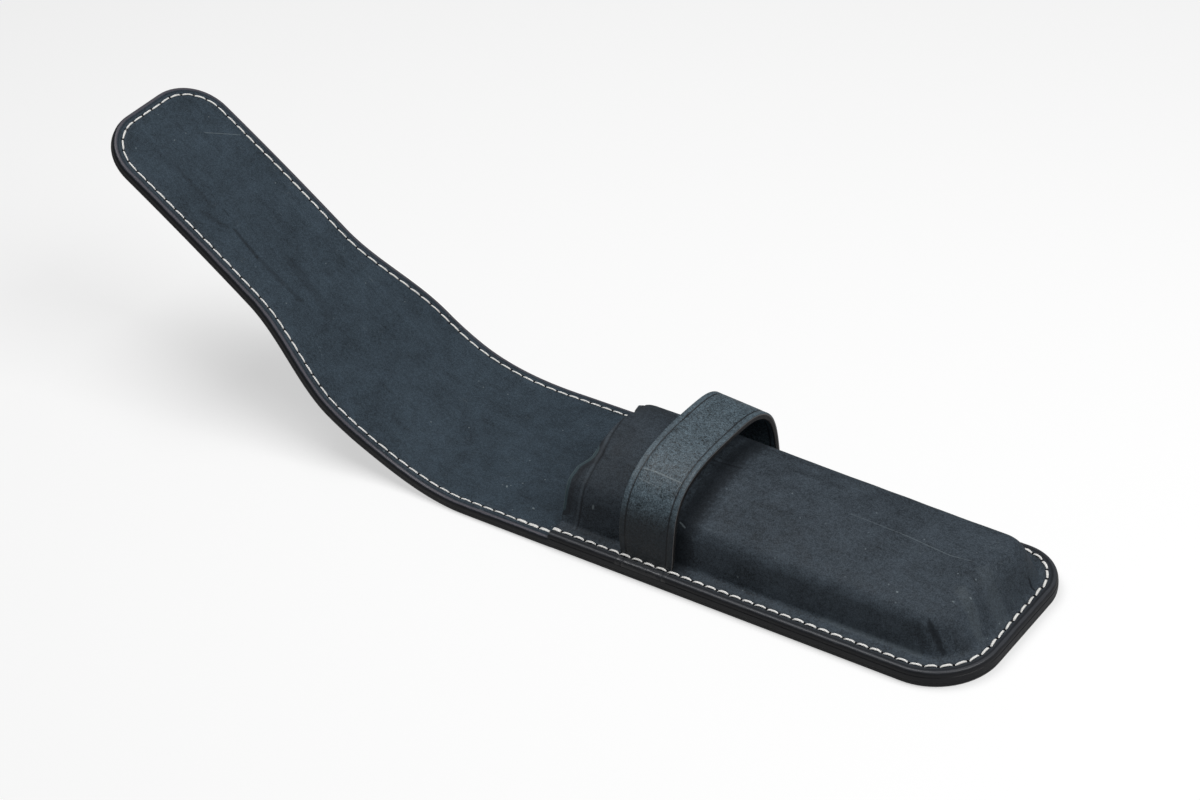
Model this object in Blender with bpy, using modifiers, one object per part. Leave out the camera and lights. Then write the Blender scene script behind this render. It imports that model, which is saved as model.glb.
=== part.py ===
"""Double pen case: a wet-moulded leather pocket sewn to a lined back that runs on as a long flap.

X runs along the case with the closed end at +X, Y runs across it and Z is up from the table.
The origin is the middle of the back under the pocket. The case lies on its back with the flap open.
All lengths are in metres. The flap is measured by the distance along it from the pocket's mouth.
"""
import math

import bmesh
import bpy
from mathutils import Vector

# Leather and how the layers lie on each other
OUTER_THICKNESS = 0.0016
LINING_THICKNESS = 0.0016
POCKET_THICKNESS = 0.0013
STRAP_THICKNESS = 0.0020
STRAP_END_THICKNESS = 0.0013
SEAT_GAP = 0.0003
EDGE_BEVEL = 0.00035

# Outline of the two long layers, cut edge to cut edge
CASE_WIDTH = 0.0612
NECK_WIDTH = 0.0569
TONGUE_WIDTH = 0.0438
POCKET_LENGTH = 0.1328
FLAP_LENGTH = 0.1883
NEAR_CORNER_RADIUS = 0.0188
FAR_CORNER_RADIUS = 0.0146
TIP_CORNER_RADIUS = 0.0148

# Where the flap narrows, measured from the mouth
NECK_START = 0.0294
NECK_END = 0.0680
SHOULDER_START = 0.0817
SHOULDER_END = 0.1213

# Side view of the open flap: flat, then one bend up, then nearly straight with a slow relax to the tip
LIFT_START = 0.0315
LIFT_RADIUS = 0.0785
LIFT_ANGLE = math.radians(38.9)
TIP_RELAX_LENGTH = 0.0700
TIP_RELAX_ANGLE = math.radians(4.6)

# Fold lines across the start of the flap's bend
FOLD_START = 0.0284
FOLD_PITCH = 0.0070
FOLD_COUNT = 6

# Moulded pocket front: heights are above the flange
FLANGE_WIDTH = 0.0051
HEEL_FLANGE_WIDTH = 0.0034
NEAR_FOOT_RADIUS = 0.0016
FAR_FOOT_RADIUS = 0.0028
NEAR_SHOULDER_RADIUS = 0.0034
FAR_SHOULDER_RADIUS = 0.0048
HEEL_SHOULDER_RADIUS = 0.0080
NEAR_WALL_ANGLE = math.radians(75.0)
FAR_WALL_ANGLE = math.radians(68.0)
MOUTH_WALL_ANGLE = math.radians(62.0)
HEEL_WALL_ANGLE = math.radians(57.0)
MOUTH_SHOULDER_HEIGHT = 0.0109
HEEL_SHOULDER_HEIGHT = 0.0104
MOUTH_CROWN_HEIGHT = 0.0183
HEEL_CROWN_HEIGHT = 0.0128
MOUTH_SHOULDER_DROP = 0.0029
MOUTH_CROWN_RISE = 0.0010
MOUTH_FADE = 0.0450
MOUTH_LEAN = 0.0028
HEEL_LEAN = 0.0012
LEAN_FADE = 0.1050
TOP_CORNER_RADIUS = 0.0030
SCOOP_DEPTH = 0.0034
SCOOP_HALF_WIDTH = 0.0140
SCOOP_BLEND = 0.0060

# Keeper strap over the pocket
STRAP_WIDTH = 0.0170
STRAP_FROM_MOUTH = 0.0230
STRAP_BEND_RADIUS = 0.0008
TONGUE_CLEARANCE = 0.0033
STRAP_FRONT_CREST_Y = 0.0050
STRAP_REAR_CREST_Y = 0.0020
STRAP_NEAR_SQUARENESS = 2.45
STRAP_FAR_SQUARENESS = 3.6
CUT_OVERRUN = 0.0020

# Counts of rows and columns
CORNER_STEPS = 8
ROW_PITCH = 0.0040
LEAST_ROW_PITCH = 0.0003
POCKET_ROWS = 20
TOP_COLUMNS = 12
BEND_STEPS = 5
WALL_CORNER_STEPS = 8
STRAP_ARC_STEPS = 14
STRAP_COLUMNS = 2
MOUTH_ROW_POWER = 1.25
BEVEL_LIMIT = math.radians(40.0)

# Places worked out from the sizes above
MOUTH_X = -POCKET_LENGTH / 2
END_X = POCKET_LENGTH / 2
HALF_WIDTH = CASE_WIDTH / 2
LINING_TOP = OUTER_THICKNESS + SEAT_GAP + LINING_THICKNESS
FLANGE_TOP = LINING_TOP + SEAT_GAP + POCKET_THICKNESS
STRAP_FRONT_X = MOUTH_X + STRAP_FROM_MOUTH
STRAP_FOOT_Y = HALF_WIDTH - FLANGE_WIDTH + SEAT_GAP + STRAP_THICKNESS
FOLD_PLACES = [FOLD_START + FOLD_PITCH * index for index in range(FOLD_COUNT)]

OUTER_COLOUR = (0.030, 0.037, 0.046, 1.0)
LINING_COLOUR = (0.036, 0.047, 0.057, 1.0)
POCKET_COLOUR = (0.040, 0.048, 0.058, 1.0)
STRAP_COLOUR = (0.050, 0.064, 0.077, 1.0)
LEATHER_ROUGHNESS = 0.62
PART_NAME = "double_pen_case"


def smooth_step(value):
    """Ease from 0 to 1 with level ends."""
    value = min(max(value, 0.0), 1.0)
    return value * value * (3.0 - 2.0 * value)


def corner_loss(distance, radius):
    """How much a rounded corner takes off the half width at a distance from the end."""
    if distance >= radius:
        return 0.0
    rise = radius - distance
    return radius - math.sqrt(max(radius * radius - rise * rise, 0.0))


def end_radius(side):
    """Radius of the closed end's corner on the near side, -1, or the far side, 1."""
    return NEAR_CORNER_RADIUS if side < 0 else FAR_CORNER_RADIUS


def half_width(along, side):
    """Half width of the back and flap. The closed end is at minus the pocket's length."""
    neck = smooth_step((along - NECK_START) / (NECK_END - NECK_START))
    shoulder = smooth_step((along - SHOULDER_START) / (SHOULDER_END - SHOULDER_START))
    width = CASE_WIDTH + (NECK_WIDTH - CASE_WIDTH) * neck + (TONGUE_WIDTH - NECK_WIDTH) * shoulder
    loss = corner_loss(along + POCKET_LENGTH, end_radius(side))
    loss += corner_loss(FLAP_LENGTH - along, TIP_CORNER_RADIUS)
    return width / 2 - loss


def profile(along):
    """Place and slope of the lining's upper face at a distance along the flap."""
    bend_length = LIFT_RADIUS * LIFT_ANGLE
    relax_start = FLAP_LENGTH - TIP_RELAX_LENGTH
    bent = min(max(along - LIFT_START, 0.0), bend_length)
    slope = bent / LIFT_RADIUS
    x = MOUTH_X - min(along, LIFT_START) - LIFT_RADIUS * math.sin(slope)
    z = LINING_TOP + LIFT_RADIUS * (1.0 - math.cos(slope))
    straight = min(max(along - LIFT_START - bend_length, 0.0), relax_start - LIFT_START - bend_length)
    x -= straight * math.cos(slope)
    z += straight * math.sin(slope)
    if along > relax_start:
        relax_radius = TIP_RELAX_LENGTH / TIP_RELAX_ANGLE
        relaxed = slope - (along - relax_start) / relax_radius
        x -= relax_radius * (math.sin(slope) - math.sin(relaxed))
        z += relax_radius * (math.cos(relaxed) - math.cos(slope))
        slope = relaxed
    return x, z, slope


def row_places(start, end):
    """Distances along the strip at which a row of points is needed between two cuts."""
    places = [start, end]
    for step in range(CORNER_STEPS + 1):
        run = 1.0 - math.cos(math.pi / 2 * step / CORNER_STEPS)
        places.append(NEAR_CORNER_RADIUS * run - POCKET_LENGTH)
        places.append(FLAP_LENGTH - TIP_CORNER_RADIUS * run)
    rows = math.ceil((FLAP_LENGTH - TIP_CORNER_RADIUS - FOLD_START) / ROW_PITCH)
    for row in range(rows):
        places.append(FOLD_START + ROW_PITCH * row)
    inside = sorted(place for place in places if start <= place <= end)
    kept = [inside[0]]
    for place in inside[1:]:
        if place - kept[-1] > LEAST_ROW_PITCH:
            kept.append(place)
    kept[-1] = end
    return kept


def new_object(name, mesh, material, collection):
    """Object with its own material in a collection."""
    item = bpy.data.objects.new(name, mesh)
    mesh.materials.append(material)
    collection.objects.link(item)
    return item


def leather(name, colour):
    """Plain leather finish."""
    material = bpy.data.materials.new(name)
    material.use_nodes = True
    shader = material.node_tree.nodes["Principled BSDF"]
    shader.inputs["Base Color"].default_value = colour
    shader.inputs["Roughness"].default_value = LEATHER_ROUGHNESS
    shader.inputs["Metallic"].default_value = 0.0
    return material


def add_thickness(item, thickness, group="", group_share=0.0):
    """Grow a layer away from its upper face."""
    solidify = item.modifiers.new("Thickness", "SOLIDIFY")
    solidify.thickness = thickness
    solidify.offset = -1.0
    solidify.use_even_offset = True
    if group:
        solidify.vertex_group = group
        solidify.thickness_vertex_group = group_share
    return solidify


def add_bevel(item, width):
    """Break the cut edges."""
    bevel = item.modifiers.new("Edges", "BEVEL")
    bevel.width = width
    bevel.segments = 1
    bevel.limit_method = "ANGLE"
    bevel.angle_limit = BEVEL_LIMIT
    return bevel


def placed_grid(name, rows):
    """Flat grid whose points are then moved to the given rows of places."""
    build = bmesh.new()
    row_steps = len(rows) - 1
    column_steps = len(rows[0]) - 1
    bmesh.ops.create_grid(build, x_segments=row_steps, y_segments=column_steps, size=0.5)
    for vertex in build.verts:
        row = round((vertex.co.x + 0.5) * row_steps)
        column = round((vertex.co.y + 0.5) * column_steps)
        vertex.co = rows[row][column]
    mesh = bpy.data.meshes.new(name)
    build.to_mesh(mesh)
    build.free()
    return mesh


def strip_piece(name, start, end, depth, thickness, colour, pivot, parent, collection):
    """One stretch of a long layer between two cuts across it, curved as the open flap lies."""
    rows = []
    for along in reversed(row_places(start, end)):
        x, z, slope = profile(along)
        x -= depth * math.sin(slope)
        z -= depth * math.cos(slope)
        rows.append([Vector((x, side * half_width(along, side), z)) - pivot for side in (-1, 1)])
    mesh = placed_grid(name, rows)
    item = new_object(name, mesh, leather(name, colour), collection)
    item.parent = parent
    add_thickness(item, thickness)
    add_bevel(item, EDGE_BEVEL)
    return item


def fold_axes(collection):
    """One empty on each fold line, each carried by the one before it."""
    axes = []
    previous_place = Vector((0.0, 0.0, 0.0))
    for index, along in enumerate(FOLD_PLACES):
        x, z, slope = profile(along)
        place = Vector((x, 0.0, z))
        axis = bpy.data.objects.new(f"fold_axis_{index + 1}", None)
        axis.empty_display_size = FOLD_PITCH
        axis.location = place - previous_place
        if axes:
            axis.parent = axes[-1][0]
        collection.objects.link(axis)
        axes.append((axis, place))
        previous_place = place
    return axes


def long_layers(collection):
    """Outer and lining leather, cut at the fold lines so that the flap can fold."""
    carriers = [(None, Vector((0.0, 0.0, 0.0)))] + fold_axes(collection)
    layers = (
        ("outer", LINING_THICKNESS + SEAT_GAP, OUTER_THICKNESS, OUTER_COLOUR),
        ("lining", 0.0, LINING_THICKNESS, LINING_COLOUR),
    )
    half_gap = SEAT_GAP / 2
    stretches = ["back"] + [f"fold_{index}" for index in range(1, FOLD_COUNT)] + ["flap"]
    starts = [-POCKET_LENGTH] + [place + half_gap for place in FOLD_PLACES]
    ends = [place - half_gap for place in FOLD_PLACES] + [FLAP_LENGTH]
    for layer, depth, thickness, colour in layers:
        for stretch, start, end, (axis, place) in zip(stretches, starts, ends, carriers):
            name = f"{layer}_{stretch}"
            strip_piece(name, start, end, depth, thickness, colour, place, axis, collection)


def wall_shape(side, heel):
    """Foot radius, shoulder radius and steepness. heel is 0 at the sides and 1 at the closed end."""
    foot_radius, shoulder_radius, angle = FAR_FOOT_RADIUS, FAR_SHOULDER_RADIUS, FAR_WALL_ANGLE
    if side < 0:
        foot_radius, shoulder_radius, angle = NEAR_FOOT_RADIUS, NEAR_SHOULDER_RADIUS, NEAR_WALL_ANGLE
    foot_radius = mix(foot_radius, FAR_FOOT_RADIUS, heel)
    shoulder_radius = mix(shoulder_radius, HEEL_SHOULDER_RADIUS, heel)
    return foot_radius, shoulder_radius, mix(angle, HEEL_WALL_ANGLE, heel)


def wall_section(height, foot_radius, shoulder_radius, angle):
    """Moulded wall from its foot up: its run, and points as shares of the run and of the height."""
    foot_rise = foot_radius * (1.0 - math.cos(angle))
    shoulder_rise = shoulder_radius * (1.0 - math.cos(angle))
    straight_run = (height - foot_rise - shoulder_rise) / math.tan(angle)
    run = (foot_radius + shoulder_radius) * math.sin(angle) + straight_run
    points = []
    for step in range(BEND_STEPS + 1):
        turn = angle * step / BEND_STEPS
        inset = foot_radius * math.sin(turn)
        rise = foot_radius * (1.0 - math.cos(turn))
        points.append((inset / run, rise / height))
    for step in range(BEND_STEPS + 1):
        turn = angle * (1.0 - step / BEND_STEPS)
        inset = run - shoulder_radius * math.sin(turn)
        rise = height - shoulder_radius * (1.0 - math.cos(turn))
        points.append((inset / run, rise / height))
    return run, points


def length_share(x):
    """0 at the mouth and 1 at the closed end."""
    return min(max((x - MOUTH_X) / POCKET_LENGTH, 0.0), 1.0)


def mouth_share(x, fade):
    """1 at the mouth, easing to 0 over the fade."""
    return 1.0 - smooth_step((x - MOUTH_X) / fade)


def mix(start, end, share):
    """Value a share of the way from start to end."""
    return start + (end - start) * share


def shoulder_height(x):
    """Height of the pocket's shoulders above the flange."""
    height = mix(MOUTH_SHOULDER_HEIGHT, HEEL_SHOULDER_HEIGHT, length_share(x))
    return height - MOUTH_SHOULDER_DROP * mouth_share(x, MOUTH_FADE)


def crown_height(x):
    """Height of the pocket's middle above the flange, raised at the mouth."""
    height = mix(MOUTH_CROWN_HEIGHT, HEEL_CROWN_HEIGHT, length_share(x))
    return height + MOUTH_CROWN_RISE * mouth_share(x, MOUTH_FADE)


def side_section(x, side):
    """Section of a long wall at a place along the pocket."""
    foot_radius, shoulder_radius, angle = wall_shape(side, 0.0)
    angle = mix(angle, MOUTH_WALL_ANGLE, mouth_share(x, MOUTH_FADE))
    return wall_section(shoulder_height(x), foot_radius, shoulder_radius, angle)


def pocket_point(x, y, share):
    """Point of the pocket's outer face. share is the part of the wall's height reached there."""
    foot_half = HALF_WIDTH - FLANGE_WIDTH
    across = 1.0 - min(abs(y) / foot_half, 1.0) ** 2
    crown = (crown_height(x) - shoulder_height(x)) * across
    lean = mix(HEEL_LEAN, MOUTH_LEAN, mouth_share(x, LEAN_FADE)) * y / HALF_WIDTH
    return (x, y, FLANGE_TOP + share * (shoulder_height(x) + crown + lean))


def mouth_edge(y):
    """X of the mouth's cut edge, scooped back between its two sides."""
    depth = smooth_step((SCOOP_HALF_WIDTH + SCOOP_BLEND / 2 - abs(y)) / SCOOP_BLEND)
    return MOUTH_X + SCOOP_DEPTH * depth


def side_columns(build, side, top_corner_x):
    """Columns of points up one long wall, from the mouth towards the closed end."""
    corner_x = END_X - end_radius(side)
    columns = []
    for row in range(POCKET_ROWS):
        along = (row / POCKET_ROWS) ** MOUTH_ROW_POWER
        run, section = side_section(mix(MOUTH_X, top_corner_x, along), side)
        edge_x = mix(MOUTH_X, corner_x, along)
        column = [build.verts.new((edge_x, side * HALF_WIDTH, FLANGE_TOP))]
        for inset_share, rise_share in section:
            y = side * (HALF_WIDTH - FLANGE_WIDTH - run * inset_share)
            x = mix(mouth_edge(y), mix(corner_x, top_corner_x, inset_share), along)
            column.append(build.verts.new(pocket_point(x, y, rise_share)))
        columns.append(column)
    return columns


def heel_column(build, side, edge, out, top, heel):
    """Column of points up the wall round the closed end. heel is 0 at the sides and 1 at the end."""
    flange = mix(FLANGE_WIDTH, HEEL_FLANGE_WIDTH, heel)
    run, section = wall_section(shoulder_height(top.x), *wall_shape(side, heel))
    foot = edge - out * flange
    column = [build.verts.new((edge.x, edge.y, FLANGE_TOP))]
    for inset_share, rise_share in section:
        place = foot + (top - foot) * inset_share
        column.append(build.verts.new(pocket_point(place.x, place.y, rise_share)))
    return column


def corner_columns(build, side, top_corner):
    """Columns round one rounded corner of the closed end."""
    radius = end_radius(side)
    centre = Vector((END_X - radius, side * (HALF_WIDTH - radius)))
    columns = []
    for step in range(WALL_CORNER_STEPS + 1):
        turn = math.pi / 2 * step / WALL_CORNER_STEPS
        out = Vector((math.sin(turn), side * math.cos(turn)))
        edge = centre + out * radius
        top = top_corner + out * TOP_CORNER_RADIUS
        heel = smooth_step(step / WALL_CORNER_STEPS)
        columns.append(heel_column(build, side, edge, out, top, heel))
    return columns


def end_columns(build, near_corner, far_corner):
    """Columns across the straight of the closed end, between its two corners."""
    out = Vector((1.0, 0.0))
    near_y = NEAR_CORNER_RADIUS - HALF_WIDTH
    far_y = HALF_WIDTH - FAR_CORNER_RADIUS
    columns = []
    for column in range(1, TOP_COLUMNS - 2):
        share = column / (TOP_COLUMNS - 2)
        edge = Vector((END_X, mix(near_y, far_y, share)))
        top = near_corner.lerp(far_corner, share) + out * TOP_CORNER_RADIUS
        columns.append(heel_column(build, 1, edge, out, top, 1.0))
    return columns


def top_rows(build, near, far):
    """Rows across the crowned top, from the mouth to where the heel starts to turn down."""
    rows = []
    for left, right in zip(near, far):
        near_y = left[-1].co.y + TOP_CORNER_RADIUS
        far_y = right[-1].co.y - TOP_CORNER_RADIUS
        row = [left[-1]]
        for column in range(TOP_COLUMNS - 1):
            y = mix(near_y, far_y, column / (TOP_COLUMNS - 2))
            along = smooth_step((MOUTH_X + MOUTH_FADE - left[-1].co.x) / MOUTH_FADE)
            x = left[-1].co.x + (mouth_edge(y) - MOUTH_X) * along
            row.append(build.verts.new(pocket_point(x, y, 1.0)))
        row.append(right[-1])
        rows.append(row)
    return rows


def bridge(build, first, second):
    """Faces between two rows of points of equal length."""
    for index in range(len(first) - 1):
        build.faces.new((first[index], second[index], second[index + 1], first[index + 1]))


def pocket_front(collection):
    """Wet-moulded pocket: a stitched flange, rounded walls and a crowned top, open at the mouth."""
    name = "pocket_front"
    build = bmesh.new()
    heel_run, section = wall_section(shoulder_height(END_X), *wall_shape(1, 1.0))
    top_end = END_X - HEEL_FLANGE_WIDTH - heel_run
    corner_x = top_end - TOP_CORNER_RADIUS
    corners = []
    for side in (-1, 1):
        side_run, section = side_section(top_end, side)
        corners.append(Vector((corner_x, side * (HALF_WIDTH - FLANGE_WIDTH - side_run - TOP_CORNER_RADIUS))))
    near_corner = corner_columns(build, -1, corners[0])
    far_corner = corner_columns(build, 1, corners[1])
    near = side_columns(build, -1, corner_x)
    far = side_columns(build, 1, corner_x)
    heel = end_columns(build, *corners)
    around = near + near_corner + heel + far_corner[::-1] + far[::-1]
    for first, second in zip(around, around[1:]):
        bridge(build, first, second)
    rows = top_rows(build, near + near_corner[:1], far + far_corner[:1])
    for first, second in zip(rows, rows[1:]):
        bridge(build, first, second)
    last = rows[-1][1:-1]
    bridge(build, last, [near_corner[-1][-1]] + [column[-1] for column in heel] + [far_corner[-1][-1]])
    for hub, corner in ((last[0], near_corner), (last[-1], far_corner)):
        for first, second in zip(corner, corner[1:]):
            build.faces.new((hub, first[-1], second[-1]))
    bmesh.ops.recalc_face_normals(build, faces=build.faces)
    mesh = bpy.data.meshes.new(name)
    build.to_mesh(mesh)
    build.free()
    item = new_object(name, mesh, leather(name, POCKET_COLOUR), collection)
    add_thickness(item, POCKET_THICKNESS)
    return item


def strap_crest(x):
    """Height of the strap's crest above the flange: the tongue passes between it and the pocket."""
    tongue = OUTER_THICKNESS + SEAT_GAP + LINING_THICKNESS
    return crown_height(x) + tongue + TONGUE_CLEARANCE + STRAP_THICKNESS


def strap_line(crest, crest_y):
    """Outer face of the strap across the case, from the near sewn end to the far one."""
    bend_z = FLANGE_TOP + STRAP_BEND_RADIUS
    rise = crest - STRAP_BEND_RADIUS
    line = []
    for side, power in ((-1, 2.0 / STRAP_NEAR_SQUARENESS), (1, 2.0 / STRAP_FAR_SQUARENESS)):
        reach = STRAP_FOOT_Y - side * crest_y
        half = [(side * HALF_WIDTH, FLANGE_TOP)]
        for step in range(BEND_STEPS + 1):
            turn = math.pi / 2 * step / BEND_STEPS
            y = STRAP_FOOT_Y + STRAP_BEND_RADIUS * (1.0 - math.sin(turn))
            z = bend_z - STRAP_BEND_RADIUS * math.cos(turn)
            half.append((side * y, z))
        for step in range(1, STRAP_ARC_STEPS):
            turn = math.pi / 2 * step / STRAP_ARC_STEPS
            y = crest_y + side * reach * math.cos(turn) ** power
            half.append((y, bend_z + rise * math.sin(turn) ** power))
        line.append(half)
    return line[0] + [(crest_y, FLANGE_TOP + crest)] + line[1][::-1]


def keeper_strap(collection):
    """Strap that the flap's tongue passes under, sewn in at both edges of the case."""
    name = "keeper_strap"
    rows = []
    for column in range(STRAP_COLUMNS + 1):
        share = column / STRAP_COLUMNS
        x = STRAP_FRONT_X + STRAP_WIDTH * share
        line = strap_line(strap_crest(x), mix(STRAP_FRONT_CREST_Y, STRAP_REAR_CREST_Y, share))
        rows.append([Vector((x, y, z)) for y, z in line])
    mesh = placed_grid(name, rows)
    item = new_object(name, mesh, leather(name, STRAP_COLOUR), collection)
    group = item.vertex_groups.new(name="full_thickness")
    for vertex in mesh.vertices:
        group.add([vertex.index], min((vertex.co.z - FLANGE_TOP) / STRAP_BEND_RADIUS, 1.0), "REPLACE")
    add_thickness(item, STRAP_THICKNESS, group.name, STRAP_END_THICKNESS / STRAP_THICKNESS)
    add_bevel(item, EDGE_BEVEL)
    return item


def cut_strap_notches(pocket, cutters):
    """Cut the flange where the strap's ends are sewn straight to the lining."""
    inner = STRAP_FOOT_Y - STRAP_THICKNESS - SEAT_GAP
    outer = HALF_WIDTH + CUT_OVERRUN
    length = STRAP_WIDTH + 2 * SEAT_GAP
    height = POCKET_THICKNESS + 2 * CUT_OVERRUN
    for side, label in ((-1, "near"), (1, "far")):
        bpy.ops.mesh.primitive_cube_add(size=1.0)
        cutter = bpy.context.active_object
        cutter.name = f"strap_notch_{label}"
        cutter.location = (
            STRAP_FRONT_X + STRAP_WIDTH / 2,
            side * (inner + outer) / 2,
            FLANGE_TOP - POCKET_THICKNESS / 2,
        )
        cutter.scale = (length, outer - inner, height)
        for collection in cutter.users_collection:
            collection.objects.unlink(cutter)
        cutters.objects.link(cutter)
        cutter.hide_render = True
        cutter.display_type = "WIRE"
        boolean = pocket.modifiers.new(f"Notch {label}", "BOOLEAN")
        boolean.operation = "DIFFERENCE"
        boolean.object = cutter


def main():
    """Build the case in an empty scene."""
    for item in list(bpy.data.objects):
        bpy.data.objects.remove(item, do_unlink=True)
    parts = bpy.data.collections.new(PART_NAME)
    cutters = bpy.data.collections.new("cutters")
    bpy.context.scene.collection.children.link(parts)
    bpy.context.scene.collection.children.link(cutters)
    long_layers(parts)
    pocket = pocket_front(parts)
    keeper_strap(parts)
    cut_strap_notches(pocket, cutters)


main()
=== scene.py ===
"""Looks of the double pen case: detailed leather, burnished edges and saddle stitching over its solids.

Every length is in metres. X runs along the case with the closed end at +X, Y runs across it and Z is up.
The back and flap are one long strip. A place on it is given by three numbers: the distance along it from
the pocket's mouth, the distance across it and the height above the lining's upper face.
"""

import math
import random

import bmesh
import bpy
from bpy.props import FloatProperty, FloatVectorProperty, IntProperty, PointerProperty
from mathutils import Matrix, Vector, noise


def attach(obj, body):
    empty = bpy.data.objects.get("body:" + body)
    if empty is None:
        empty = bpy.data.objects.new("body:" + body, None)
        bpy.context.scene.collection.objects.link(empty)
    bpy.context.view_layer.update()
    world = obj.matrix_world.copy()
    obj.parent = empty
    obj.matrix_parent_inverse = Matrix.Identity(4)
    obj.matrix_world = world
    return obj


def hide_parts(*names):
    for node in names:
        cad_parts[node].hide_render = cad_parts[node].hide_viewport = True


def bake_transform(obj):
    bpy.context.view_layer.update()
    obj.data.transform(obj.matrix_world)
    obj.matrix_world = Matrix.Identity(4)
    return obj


bl_info = {
    "name": "Double pen case",
    "version": (1, 0, 0),
    "blender": (4, 5, 0),
    "location": "View3D > Sidebar > Pen case",
    "description": "Builds the detailed leather, edges and stitching of a double pen case over its solids",
    "category": "Add Mesh",
}

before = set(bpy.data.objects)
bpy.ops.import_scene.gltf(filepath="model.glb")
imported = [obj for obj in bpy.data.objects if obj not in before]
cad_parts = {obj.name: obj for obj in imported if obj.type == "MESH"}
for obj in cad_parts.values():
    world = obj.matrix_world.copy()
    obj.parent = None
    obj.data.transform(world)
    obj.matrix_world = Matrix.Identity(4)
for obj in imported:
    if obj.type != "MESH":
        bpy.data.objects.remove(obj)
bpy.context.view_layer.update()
MILLIMETRE = 0.001


def length_setting(name, description, default):
    """Property for a length."""
    return FloatProperty(name=name, description=description, default=default, unit="LENGTH")


def number_setting(name, description, default):
    """Property for a plain number."""
    return FloatProperty(name=name, description=description, default=default)


def colour_setting(name, description, default):
    """Property for a colour."""
    return FloatVectorProperty(name=name, description=description, default=default, subtype="COLOR")


class CaseSizes(bpy.types.PropertyGroup):
    """Sizes of the case, the same as those of the solids."""

    case_width: length_setting("Case width", "Across the back, cut edge to cut edge", 0.0612)
    neck_width: length_setting("Neck width", "Across the flap's neck", 0.0569)
    tongue_width: length_setting("Tongue width", "Across the flap's tongue", 0.0438)
    pocket_length: length_setting("Pocket length", "From the mouth to the closed end", 0.1328)
    flap_length: length_setting("Flap length", "From the mouth to the flap's tip", 0.1883)
    near_radius: length_setting("Near corner", "Radius of the closed end's near corner", 0.0188)
    far_radius: length_setting("Far corner", "Radius of the closed end's far corner", 0.0146)
    tip_radius: length_setting("Tip corner", "Radius of the flap's two corners", 0.0148)
    layer: length_setting("Layer", "Thickness of each long layer with half the seat gap", 0.00175)
    pocket_layer: length_setting("Pocket layer", "Thickness of the pocket's leather with its gap", 0.0016)
    lift_radius: length_setting("Lift radius", "Radius of the open flap's bend", 0.0785)
    lift_angle: FloatProperty(
        name="Lift angle", description="Slope of the open flap", default=math.radians(38.9), subtype="ANGLE")


class EdgeSettings(bpy.types.PropertyGroup):
    """Burnished edge, pressed lines and stitching."""

    bulge: length_setting("Bulge", "How far the burnished edge stands outside the cut line", 0.00030)
    rounding: length_setting("Rounding", "Depth of the rounded edge", 0.0011)
    seam_inset: length_setting("Seam inset", "From the cut edge to the stitches", 0.00265)
    stitch_pitch: length_setting("Stitch pitch", "From one hole to the next", 0.0040)
    thread_width: length_setting("Thread width", "Width of the flattened thread round the pocket", 0.00074)
    flap_thread_width: length_setting(
        "Flap thread width", "Width of the thread where it lies flat on the flap", 0.00058)
    crease_inset: length_setting("Crease inset", "From the cut edge to the pressed line", 0.00135)
    crease_depth: length_setting("Crease depth", "Depth of the pressed lines", 0.00014)


class LookSettings(bpy.types.PropertyGroup):
    """Colours of the leather and the thread."""

    lining: colour_setting("Lining", "Colour of the lining", (0.036, 0.052, 0.068))
    pocket: colour_setting("Pocket", "Colour of the pocket front", (0.043, 0.055, 0.068))
    strap: colour_setting("Strap", "Colour of the strap", (0.064, 0.090, 0.109))
    outer: colour_setting("Outer", "Colour of the outer leather", (0.034, 0.046, 0.058))
    edge: colour_setting("Edge", "Colour of the burnished edge", (0.016, 0.017, 0.020))
    strap_edge: colour_setting("Strap edge", "Colour of the strap's cut edge", (0.011, 0.011, 0.012))
    mouth_edge: colour_setting("Mouth edge", "Colour of the mouth's cut edge", (0.060, 0.068, 0.078))
    thread: colour_setting("Thread", "Colour of the waxed thread", (0.97, 0.96, 0.93))
    noise_seed: IntProperty(
        name="Seed", description="Start of the seeded variation between stitches", default=7)


class StageSettings(bpy.types.PropertyGroup):
    """Floor and light."""

    floor_glow: number_setting("Floor glow", "Light that the floor adds where the camera sees it", 0.58)
    world_light: number_setting("World light", "Strength of the even light from all sides", 0.08)
    key_size: length_setting("Key size", "Side of each of the two large lights", 0.50)
    key_power: number_setting("Key power", "Power of the large light above the flap", 3.5)
    fill_power: number_setting("Fill power", "Power of the large light beyond the closed end", 3.5)


# Values shared with the solids
NECK_START, NECK_END = 0.0294, 0.0680
SHOULDER_START, SHOULDER_END = 0.0817, 0.1213
LIFT_START = 0.0315
TIP_RELAX_LENGTH = 0.0700
TIP_RELAX_ANGLE = math.radians(4.6)
FOLD_START, FOLD_PITCH, FOLD_COUNT = 0.0284, 0.0070, 6
LINING_TOP = 0.0035
SHELL_THICKNESS = 0.0013
FLANGE_WIDTH, HEEL_FLANGE_WIDTH = 0.0051, 0.0034
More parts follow.
